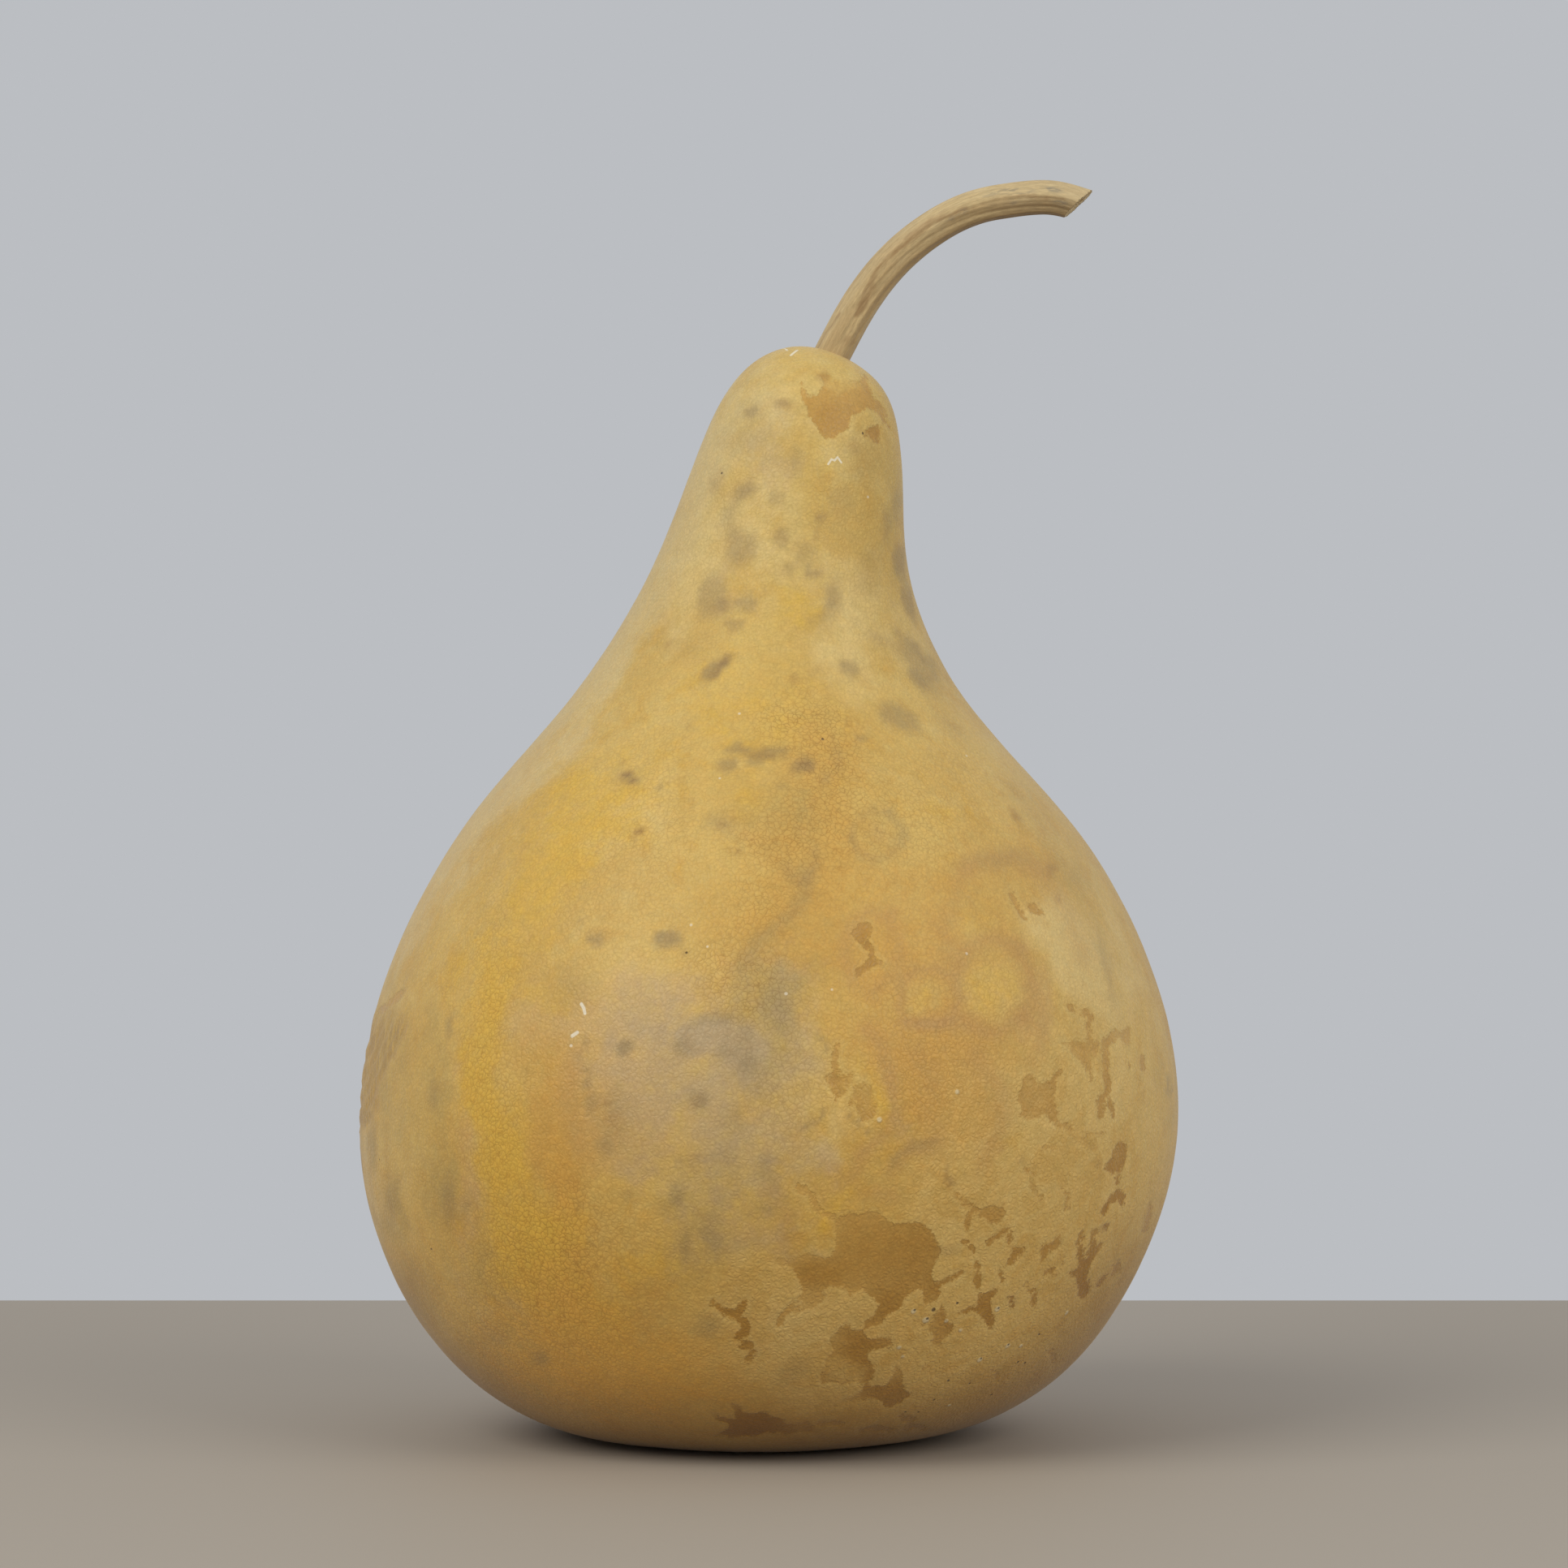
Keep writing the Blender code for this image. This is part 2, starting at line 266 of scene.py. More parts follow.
# Broad zones of colour as they appear from the front, each as the spots that make it up. Golden, straw,
# rose, olive, ginger and amber are how the rind ripened, and violet is what mould did under it. Bloom is
# partly a pale bloom of mould and partly a painted sheen along the lit left edge of the neck and
# shoulder. Crust is where the outer skin has dulled, and crazed is where it has cracked. A spot is its
# place to the right and up, half width, half height and strength, then its lean and softness if not 0 and
# 0.9.
ZONES = {
    "golden": (
        (-68, 101, 6, 14, 0.8, 4), (-71, 84, 5, 12, 0.95, 4, 0.8), (-67, 66, 5, 14, 0.9, 0, 0.8),
        (-61, 70, 6, 16, 0.6), (-53, 50, 9, 9, 1.0, -20, 0.8), (-63, 44, 9, 10, 0.6),
        (-52, 36, 10, 7, 0.8, -10), (-62, 122, 12, 20, 0.35, -25), (-48, 28, 12, 12, 0.5),
        (-46, 148, 12, 26, 0.7, -38), (-6, 156, 16, 12, 0.25), (-12, 182, 12, 12, 0.4, 20),
        (6, 203, 5, 5, 0.5, 0, 0.6), (3, 259, 7, 4, 0.2), (13, 239, 4, 4, 0.3, 0, 0.8),
        (38.4, 106.4, 4, 4, 0.3, 0, 0.5), (54.4, 109, 5.4, 6.2, 0.5, 0, 0.5), (12, 202, 13, 16, 0.12),
        (8, 174, 14, 8, 0.4), (22, 56.4, 5, 2.4, 0.4, 0, 0.8), (31, 65, 9, 4, 0.3, 25), (46, 65, 4, 5, 0.5),
        (58, 70, 5, 6, 0.5), (16, 128, 10, 8, 0.2), (45, 128, 14, 10, 0.3), (26, 83, 2.4, 9, 0.7, 20, 0.8),
        (-35, 32, 14, 8, 0.4), (-30, 44, 9, 5, 0.4), (15, 55, 3, 2.4, 0.6, 0, 0.8),
        (42, 152, 8, 10, 0.3, 30), (-52, 106, 6, 6, 0.35), (48, 42, 6, 4, 0.3),
    ),
    "straw": (
        (-88, 66, 3.6, 26, 0.4, 1, 0.8), (74, 117, 7, 17, 1.0, 30, 0.55), (69, 125, 6, 7, 0.6, 30, 0.8),
        (-62, 134, 12, 20, 0.35, -30), (-34, 154, 9, 10, 0.5, -30), (-18, 222, 6, 34, 0.5, -14),
        (-14, 252, 6, 12, 0.5, -20), (8, 250, 14, 14, 0.45), (54.4, 109, 5.4, 6.2, 0.3, 0, 0.5),
        (86, 96, 5, 26, 0.5), (22, 182, 9, 9, 0.3), (52, 160, 8, 14, 0.15, 42), (12, 191, 9, 8, 0.5),
        (6, 9, 10, 7, 0.6), (0, 226, 8, 14, 0.4), (0, 212, 9, 14, 0.4), (-15, 214, 5, 14, 0.5, -14),
        (78, 80, 6, 12, 0.35), (50, 48, 8, 6, 0.35), (10, 70, 7, 7, 0.4), (19, 200, 9, 13, 0.65, 10),
        (84, 124, 4, 16, 0.4, 22), (36, 192, 4, 12, 0.4, 25), (18, 75, 4, 4, 0.6, 0, 0.8),
        (-30, 112, 14, 8, 0.35), (-16, 84, 5, 4, 0.35), (-22, 62, 6, 5, 0.3), (2, 44, 4, 8, 0.35),
        (7, 24, 13, 9, 0.6), (20, 31, 5, 4, 0.4), (66, 72, 5, 5, 0.4), (85, 80, 2.4, 8, 0.6, 5, 0.8),
        (94, 84, 3, 24, 0.4),
    ),
    "rose": (
        (-34, 92, 13, 18, 0.6, -8), (-30, 72, 12, 9, 0.5), (-48, 94, 7, 14, 0.5), (-60, 100, 6, 6, 0.4),
        (-46, 72, 6, 9, 0.3), (-24, 110, 12, 8, 0.4), (14, 66, 4.4, 6, 0.5, 0, 0.8), (0, 236, 9, 10, 0.4),
        (-4, 46, 12, 6, 0.4), (12, 36, 8, 6, 0.3), (-75, 60, 3, 20, 0.6), (-75, 92, 3, 5, 0.4),
        (56, 82, 4, 14, 0.3), (40, 99.6, 16, 3, 0.45), (66, 104, 3.6, 9, 0.5), (47, 108, 2, 6, 0.4),
        (-60, 26, 16, 10, 0.3, -20), (-10, 26, 14, 8, 0.3), (26, 112, 8, 4, 0.4), (30, 88, 3, 10, 0.5),
        (33, 128, 8, 5, 0.3),
    ),
    "olive": (
        (-80.5, 92, 2.2, 16, 0.55, 2), (-79, 60, 2.2, 20, 0.5), (-1, 96, 8, 15, 0.6),
        (-12, 56, 14, 12, 0.5), (-18, 38, 14, 10, 0.4), (30, 224, 3.4, 22, 0.45, 4),
        (-92, 84, 3, 24, 0.5, 4), (-85, 82, 4, 24, 0.45, 3), (10, 122, 14, 12, 0.55), (4, 148, 14, 10, 0.5),
        (56, 131, 10, 7, 0.35), (3, 102, 6, 9, 0.5), (-6, 90, 6, 6, 0.6), (-9, 76, 4, 6, 0.6),
        (3, 66, 8, 8, 0.35), (5, 114, 9, 8, 0.5), (97, 76, 2.4, 26, 0.4), (-5, 245, 8, 6, 0.3),
        (40, 180, 3, 8, 0.3, 38), (-93, 50, 3, 12, 0.5, -8), (-96.6, 70, 1.6, 6, 0.5), (6, 150, 7, 8, 0.5),
        (-72, 40, 5, 6, 0.5), (-90, 112, 3, 10, 0.3, -18),
    ),
    "ginger": (
        (-50, 63, 5, 7, 0.8), (-48, 72, 9, 18, 0.4), (-54, 70, 5, 6, 0.5), (-46, 42, 7, 9, 0.45, -20),
        (-30, 30, 10, 8, 0.6, -20), (-46, 66, 6, 12, 0.4), (-53, 86, 6, 14, 0.55), (-57, 76, 4, 6, 0.4),
        (44, 103, 20, 15, 0.75), (30, 120, 12, 9, 0.5), (60, 126, 9, 8, 0.3),
        (54.5, 109, 6.6, 7.4, -0.95, 0, 0.35), (38.4, 106.4, 4.4, 4.4, -0.7, 0, 0.4), (26, 98, 8, 10, 0.35),
        (44, 82, 13, 16, 0.9), (38, 78, 5, 4, 0.5), (50, 72, 6, 5, 0.6), (-76, 66, 2.6, 10, 0.5),
        (-60, 22, 18, 12, 0.25, -20), (20, 116, 20, 7, 0.4), (50, 96, 14, 5, 0.4), (-20, 12, 40, 10, 0.4),
        (66, 84, 5, 5, 0.15), (36, 50, 10, 6, 0.3), (15, 165, 10, 14, 0.55), (34, 136, 16, 10, 0.45),
        (12, 146, 10, 8, 0.6), (2, 150, 14, 12, 0.3), (0, 126, 16, 14, 0.6), (14, 130, 10, 9, 0.5),
        (58, 141, 12, 8, 0.45, -30), (68, 144, 7, 12, 0.35, 30), (46, 128, 12, 10, 0.35),
        (-6, 178, 14, 8, 0.25), (53, 62, 5, 7, 0.5), (-40, 20, 22, 10, 0.15), (20, 61, 6, 3, 0.4),
        (76, 30, 8, 8, 0.3),
    ),
    "amber": (
        (-48, 30, 12, 14, 0.7, -20), (-30, 14, 26, 10, 0.8), (-56, 20, 14, 8, 0.5, -30),
        (30, 26, 14, 8, 0.35), (44, 76, 14, 12, 0.4), (-50, 60, 6, 12, 0.5), (-34, 52, 8, 6, 0.3),
        (20, 26, 10, 10, 0.3),
    ),
    # Pale bloom, and a painted sheen along the lit left edge of the neck and shoulder.
    "bloom": (
        (-16, 246, 4, 16, 0.8, -12), (-22, 224, 5, 22, 0.9, -16), (-36, 198, 6, 22, 0.9, -32),
        (-56, 172, 8, 24, 1.0, -42), (-74, 148, 7, 20, 0.9, -38), (-88, 124, 5, 18, 0.7, -22),
        (-97, 62, 2.4, 20, 0.5, 8), (-6, 240, 10, 18, 0.4, -10), (4, 250, 12, 10, 0.35),
        (-4, 72, 18, 24, 0.3), (18, 72, 5, 6, 0.4),
    ),
    "violet": (
        (-14, 84, 19, 20, 0.6), (0, 66, 16, 16, 0.35), (-12, 46, 16, 10, 0.35), (6, 108, 9, 14, 0.4),
        (-20, 110, 12, 7, 0.35), (-4, 22, 10, 8, 0.2), (-8, 94, 3, 6, 0.5, 0, 0.8), (-32, 98, 9, 8, 0.45),
        (10, 90, 6, 10, 0.35), (-14, 97, 8.6, 5.6, 1.0, 26, 0.45), (-20.4, 94.4, 3.4, 3, 1.0, 0, 0.6),
        (-7, 95, 3, 6.5, 0.7, 0, 0.6), (14, 67, 3.6, 6, 0.35), (-34, 82, 8, 6, 0.35), (-33, 66, 5, 4, 0.3),
        (-36, 94, 3.4, 3, 0.4, 0, 0.8), (1, 72, 2.6, 5, 0.3), (-17, 81, 4, 2.4, 0.4, 0, 0.8),
        (31, 77, 2.2, 5, 0.3), (2, 236, 6, 5, 0.35), (-11, 208, 4, 10, 0.25),
    ),
    "crust": (
        (66, 56, 32, 36, 1.0, 0, 0.35), (36, 22, 46, 17, 1.0, 6, 0.4), (-2, 33, 14, 9, 0.8, 0, 0.5),
        (80, 80, 12, 18, 1.0, 0, 0.4), (78, 100, 7, 12, 0.7, 10, 0.7), (20, 82, 8, 10, 0.4, 0, 0.7),
        (-10, 20, 14, 9, 0.4, 0, 0.7), (48, 122, 6, 5, 0.2, 0, 0.8),
    ),
    "crazed": (
        (-68, 84, 7, 40, 0.7), (-54, 46, 14, 16, 1.0, -20, 0.8), (7, 174, 9, 6, 0.9, 0, 0.8),
        (16, 163, 6, 12, 0.9, 0, 0.8), (5, 145, 12, 12, 0.7, 0, 0.8), (-5, 128, 8, 6, 0.6, 0, 0.8),
        (-12, 115, 6, 6, 0.6, 0, 0.8), (-3, 109, 8, 8, 0.6, 0, 0.8), (-52, 28, 18, 12, 0.6),
        (-35, 150, 14, 20, 0.4, -35), (30, 150, 20, 14, 0.5), (40, 84, 16, 12, 0.4), (4, 92, 10, 20, 0.45),
        (42, 106, 20, 10, 0.3),
    ),
}

# Spots of mould: soft, grey to purplish, just under the surface.
MOULD = (
    (-4.7, 249.2, 1.6, 1.5, 0.45, 0, 0.5), (-4.7, 249.2, 3, 2.6, 0.15, 0, 0.8),
    (6.8, 238, 1.8, 3.4, 0.25, 0, 0.8), (-4, 242, 6, 3, 0.22), (-13, 231.5, 1.4, 2.6, 0.28, -10, 0.8),
    (-5.4, 230, 3.2, 1.6, 0.4, 25, 0.6), (-6.4, 216.6, 3.9, 3.6, 0.42, 20, 0.45),
    (-8.6, 213, 2.4, 2.4, 0.25, 0, 0.7), (1.9, 228.4, 2.1, 1.9, 0.32, 0, 0.6),
    (3, 218.7, 2.3, 2.3, 0.42, 0, 0.45), (8.6, 215.6, 2.4, 2.6, 0.3, 0, 0.7),
    (10.8, 210.2, 1.9, 1.2, 0.45, -20, 0.5), (3.6, 210.6, 1.8, 0.9, 0.25, 0, 0.8),
    (13.2, 223.2, 2.4, 1.2, 0.25, -15, 0.7), (17.5, 228, 2.6, 2.6, 0.18), (31.6, 227, 1.1, 4, 0.35, 0, 0.8),
    (28.8, 221, 1.4, 4, 0.3, -5, 0.8), (32.3, 213, 1.5, 4, 0.55, 6, 0.6), (25, 213, 2.4, 3, 0.2),
    (24, 238, 4, 6, 0.18), (-14, 204.2, 3.4, 5.4, 0.42, -12, 0.4), (-11.2, 201.6, 2.6, 2.4, 0.25, 0, 0.6),
    (-5.6, 202.4, 3, 1.9, 0.45, -14, 0.4), (-8.8, 196.9, 2.1, 1.5, 0.4, -10, 0.5),
    (16, 204, 2, 4.4, 0.25, 0, 0.7), (13.4, 198.4, 2.6, 1.6, 0.2, 20, 0.8), (24, 207, 3, 2.6, 0.2),
    (34.2, 203, 1.2, 5, 0.5, 12, 0.6), (27.5, 193.6, 3.2, 1.2, 0.28, -30, 0.8),
    (33, 191.4, 2.4, 2.2, 0.3, 0, 0.7), (37.4, 186.4, 3, 6.6, 0.38, 26, 0.6),
    (44, 173, 4.6, 1.6, 0.22, -42), (-13.3, 186.4, 4.3, 1.9, 0.6, 34, 0.4),
    (-11, 187.5, 1.6, 1, 0.3, 34, 0.6), (19.4, 187.1, 2.6, 1.9, 0.5, -22, 0.45),
    (20.4, 184.4, 1.6, 1, 0.2, 0, 0.8), (-19, 192, 6, 3, 0.1), (31.8, 175, 5.4, 2.9, 0.48, -28, 0.4),
    (22.8, 169.5, 1.8, 0.9, 0.35, -25, 0.7), (-7.8, 167.3, 3, 1.1, 0.55, -4, 0.5),
    (-2.4, 165.6, 3.8, 1.7, 0.42, -8, 0.5), (2.2, 166.1, 2.8, 1.6, 0.45, 0, 0.5),
    (-2.4, 164.4, 2.6, 1, 0.3, 0, 0.6), (-10.2, 162.8, 2.3, 1.9, 0.48, 20, 0.45),
    (8.3, 162.8, 3.1, 1.7, 0.52, 18, 0.45), (13.9, 159.9, 1.6, 1.2, 0.3, 0, 0.7),
    (16.4, 165, 1.6, 4, 0.22, 10, 0.8), (3.4, 158.4, 1.6, 1, 0.25, 0, 0.8),
    (-34, 160.2, 2.4, 1.1, 0.5, -8, 0.5), (-34.4, 160.2, 4, 2.2, 0.18, -8, 0.8),
    (-11.2, 148.8, 4, 2.6, 0.28, 0, 0.8), (-26.8, 157.4, 1.2, 0.8, 0.35, -30, 0.7),
    (-46.5, 124.5, 0.8, 1.1, 0.4, 0, 0.7), (-42.3, 120.7, 1.9, 1.6, 0.5, 0, 0.5),
    (-25, 120.9, 3.3, 2.2, 0.62, -8, 0.4), (-48, 108, 5, 5, 0.25), (9, 136, 2.6, 3, 0.3, 0, 0.8),
    (57, 140, 6, 2.2, 0.2, 5), (-2, 108, 6, 6, 0.2), (3, 103, 2.6, 5, 0.25),
    (-44.6, 95.6, 1.4, 1.1, 0.45, -30, 0.6), (-46.5, 92, 1, 1.5, 0.22, 0, 0.8),
    (-44.5, 88.6, 1.7, 1.1, 0.42, -30, 0.6), (-44.8, 85, 1.4, 1.5, 0.45, 0, 0.6),
    (-43.4, 80.6, 1.4, 3, 0.38, -16, 0.7), (-37, 83.5, 1.8, 1.8, 0.22, 0, 0.8),
    (-35, 94, 1.9, 1.8, 0.6, 0, 0.5), (-33, 72, 6.5, 6.5, 0.12), (-34, 58, 2, 1.6, 0.3, 0, 0.8),
    (-22.6, 58, 1.9, 2.8, 0.42, 10, 0.6), (-25, 55, 3, 2, 0.25, 0, 0.8), (-15.4, 51, 3, 3.6, 0.32, 0, 0.8),
    (-20.4, 45.6, 1, 4, 0.4, 0, 0.7), (-12.8, 45, 2.4, 3, 0.25), (-20.6, 94.2, 2.6, 2.1, 0.35, 0, 0.5),
    (-11.4, 101.6, 4.6, 1.4, 0.24, 8, 0.7), (-9.8, 92.6, 2.4, 1.5, 0.34, 0, 0.6),
    (-5.8, 95, 1.6, 4.6, 0.3, 12, 0.7), (-5, 89.6, 3, 2.6, 0.34, 0, 0.7),
    (-17.4, 81.3, 3, 2, 0.46, -10, 0.5), (-9, 77, 3, 3, 0.16), (-9.4, 66.4, 3, 4, 0.2),
    (-15, 26, 3.2, 2.6, 0.35, 0, 0.8), (-56, 18, 2.2, 1.6, 0.4, 0, 0.8), (-66, 24, 3, 2, 0.2),
    (-92, 57, 1.5, 5.5, 0.35, 0, 0.8), (-97, 70, 1.1, 5.4, 0.35, 0, 0.8), (-78, 99, 1.1, 2.8, 0.45, 0, 0.8),
    (-82, 82, 1.3, 3, 0.35, 0, 0.8), (-78, 57, 1.6, 5.4, 0.4, 0, 0.8), (-74, 55, 1.2, 3, 0.3, 0, 0.8),
    (-38, 76, 4, 6, 0.25), (-40, 70, 2, 2.4, 0.35, 0, 0.8), (0, 66, 3, 3, 0.2), (-20, 66, 3, 2.4, 0.25),
    (-86, 34, 4, 8, 0.2, 20), (83, 112, 1, 9, 0.25, 12, 0.8), (97.7, 84.5, 0.8, 2.8, 0.4, 0, 0.7),
    (44, 44, 2.2, 1.4, 0.3, 0, 0.8), (6, 15, 4, 2.4, 0.25, 30, 0.8),
)

# Rings and bands that mould leaves as it spreads: half width, strength and points.
MOULD_LINES = (
    (1.9, 0.30, ((-5, 230.6), (-8.4, 228.4), (-10, 224.4), (-9.4, 219.6))),
    (1.2, 0.16, ((-2.6, 236), (0.4, 238.4), (5.6, 236.4))),
    (1.5, 0.30, ((31.5, 143.5), (33, 146), (31.5, 149.5), (29, 151.6))),
    (1.2, 0.2, ((29, 151.6), (24, 151.8), (20.8, 149), (20.3, 145))),
    (1.4, 0.26, ((20.3, 145), (22, 141.5), (26, 140), (30, 141.5))),
    (1.6, 0.16, ((25.4, 147.6), (27.4, 146.6), (26.6, 144.6))),
    (1.3, 0.22, ((9, 197.5), (13, 199), (15.4, 202.5))), (1.5, 0.3, ((15.4, 202.5), (15.4, 206.5))),
    (1.1, 0.2, ((12.5, 210.5), (8, 212.3), (4, 211))),
    (3, 0.16, ((60, 158), (66, 149), (71, 140), (75, 135))), (2.4, 0.12, ((75, 135), (79, 127), (83, 114))),
    (1.2, 0.3, ((30, 66), (33, 68), (37, 70), (40, 71))),
    (1.0, 0.22, ((-22.6, 93), (-21.6, 96.6), (-18, 100.2), (-12, 102.6), (-7, 101.4), (-5, 97.6))),
    (0.8, 0.24, ((-13, 92.4), (-10.6, 95), (-9.4, 98.6))),
    (0.6, 0.5, ((12.8, 79), (12.5, 76.8), (10, 75.3), (8, 74))),
    (0.6, 0.45, ((19.3, 78.5), (21, 76), (24.5, 73.6))), (0.6, 0.45, ((12, 97), (14, 95), (14.3, 93.5))),
    (1.1, 0.3, ((-5, 53), (-2, 54.5), (0, 55))), (2.0, 0.3, ((9, 131), (5, 126), (-2, 121), (-8, 113))),
    (1.4, 0.26, ((4, 138), (7, 134), (12, 139), (11, 142))),
    (1.2, 0.3, ((35, 186), (38, 183), (41, 184), (40, 189))),
    (0.8, 0.35, ((31, 196), (35, 193), (38, 189))),
)

# Rusty bands round the places where rot began.
RUSTY_LINES = (
    (1.6, 0.95, ((34, 101), (36.6, 99.6), (40, 99.6), (44, 101.2))),
    (1.5, 0.6, ((44, 101.2), (46.6, 106), (45, 111), (41, 113.4), (36, 113.3), (32.6, 110), (32.4, 104))),
    (2.2, 0.6, ((46, 113), (49, 118.5), (55, 121), (61, 119))),
    (2.2, 0.7, ((61, 118), (64, 112), (64, 106), (62, 101))),
    (2.2, 0.6, ((62, 101), (56, 98), (50, 98.6), (46, 101))),
    (2.2, 0.5, ((48, 138), (54, 140.6), (61, 140.4), (67, 137))),
    (3, 0.4, ((45, 117), (43, 124), (46, 131), (48, 138))), (2.6, 0.4, ((67, 137), (73, 128), (77, 116))),
    (2.0, 0.6, ((24, 99), (27.4, 95), (29, 88), (31, 80), (29.6, 74), (23, 68))),
    (2.4, 0.5, ((23, 68), (20, 62), (24, 58.6), (30, 58))), (2, 0.5, ((30, 64), (34, 68.4), (41, 70))),
    (2.0, 0.5, ((19.6, 111), (18.4, 117), (19.5, 123), (24, 127.4), (29.6, 126))),
    (2, 0.4, ((29.6, 126), (32.4, 120), (31, 112), (26, 108))),
    (2.4, 0.4, ((50, 92), (57, 84), (57, 74), (52, 66))),
    (2.6, 0.3, ((36, 92), (40, 86), (38, 78), (42, 72))), (2.4, 0.4, ((0, 60), (5, 52), (4, 43))),
    (2.6, 0.4, ((-47, 92), (-49, 80), (-46, 70))), (2, 0.3, ((66, 104), (68, 96), (64, 90))),
)

# Small brown to reddish cores of old bites and bruises.
UMBER = (
    (13.2, 258.2, 1.5, 1.4, 0.4, 0, 0.5), (3.3, 251.2, 2.1, 1.4, 0.65, -15, 0.7),
    (5.4, 249.6, 3.4, 2, 0.14, 0, 0.8), (21, 240.5, 1.4, 1.6, 0.3, 0, 0.8),
    (12.8, 223, 1.6, 0.9, 0.5, 0, 0.7), (11.8, 219.5, 1.1, 1.1, 0.4, 0, 0.8),
    (-11.2, 201.9, 2, 1.5, 0.42, 0, 0.6), (6, 184, 1.4, 0.7, 0.4, 0, 0.7),
    (11.5, 185.8, 1.4, 1, 0.3, 0, 0.8), (-11.5, 187.2, 3.4, 1.1, 0.4, 36, 0.7),
    (-24.3, 192.8, 1.2, 0.6, 0.4, 0, 0.7), (19.2, 173.8, 1.2, 0.8, 0.3, 0, 0.8),
    (-19.5, 173.5, 0.9, 0.9, 0.5, 0, 0.7), (-34, 160.2, 2.1, 0.9, 0.6, -8, 0.6),
    (-35.8, 163.8, 1.1, 1, 0.35, 0, 0.8), (-18.5, 154, 0.7, 1.6, 0.35, 0, 0.8),
    (-31.7, 147.1, 1.1, 0.8, 0.9, 0, 0.5), (-11.2, 148.8, 1.9, 1, 0.45, 0, 0.6),
    (-7.7, 141.3, 0.7, 0.7, 0.5, 0, 0.8), (-1, 165.5, 6, 1.2, 0.3, 0, 0.8),
    (9, 162.8, 2, 1.2, 0.35, 0, 0.7), (60.5, 150.3, 2.1, 0.9, 0.5, -40, 0.7),
    (69.5, 137.8, 1.4, 1, 0.5, 0, 0.7), (70.8, 130.3, 1, 1.2, 0.5, 0, 0.7),
    (-39.8, 81, 1.4, 1.2, 0.55, 0, 0.7), (-38.5, 77, 1.6, 2, 0.2), (44.5, 61, 1.6, 1.3, 0.65, 0, 0.6),
    (43.8, 63.6, 0.7, 2.4, 0.4, 0, 0.8), (61.5, 66.5, 1.2, 1, 0.35, 0, 0.7),
    (80, 66.3, 0.9, 0.8, 0.4, 0, 0.7), (57, 68.8, 0.8, 0.7, 0.35, 0, 0.7), (59.5, 32, 1, 1.2, 0.5, 0, 0.7),
    (-20.1, 117.2, 0.6, 0.6, 0.6, 0, 0.8), (-11.5, 234.3, 0.6, 0.6, 0.6, 0, 0.8),
    (-17.5, 81, 2, 1.3, 0.25, 0, 0.8), (82.2, 50.2, 0.9, 0.9, 0.5, 0, 0.7),
)

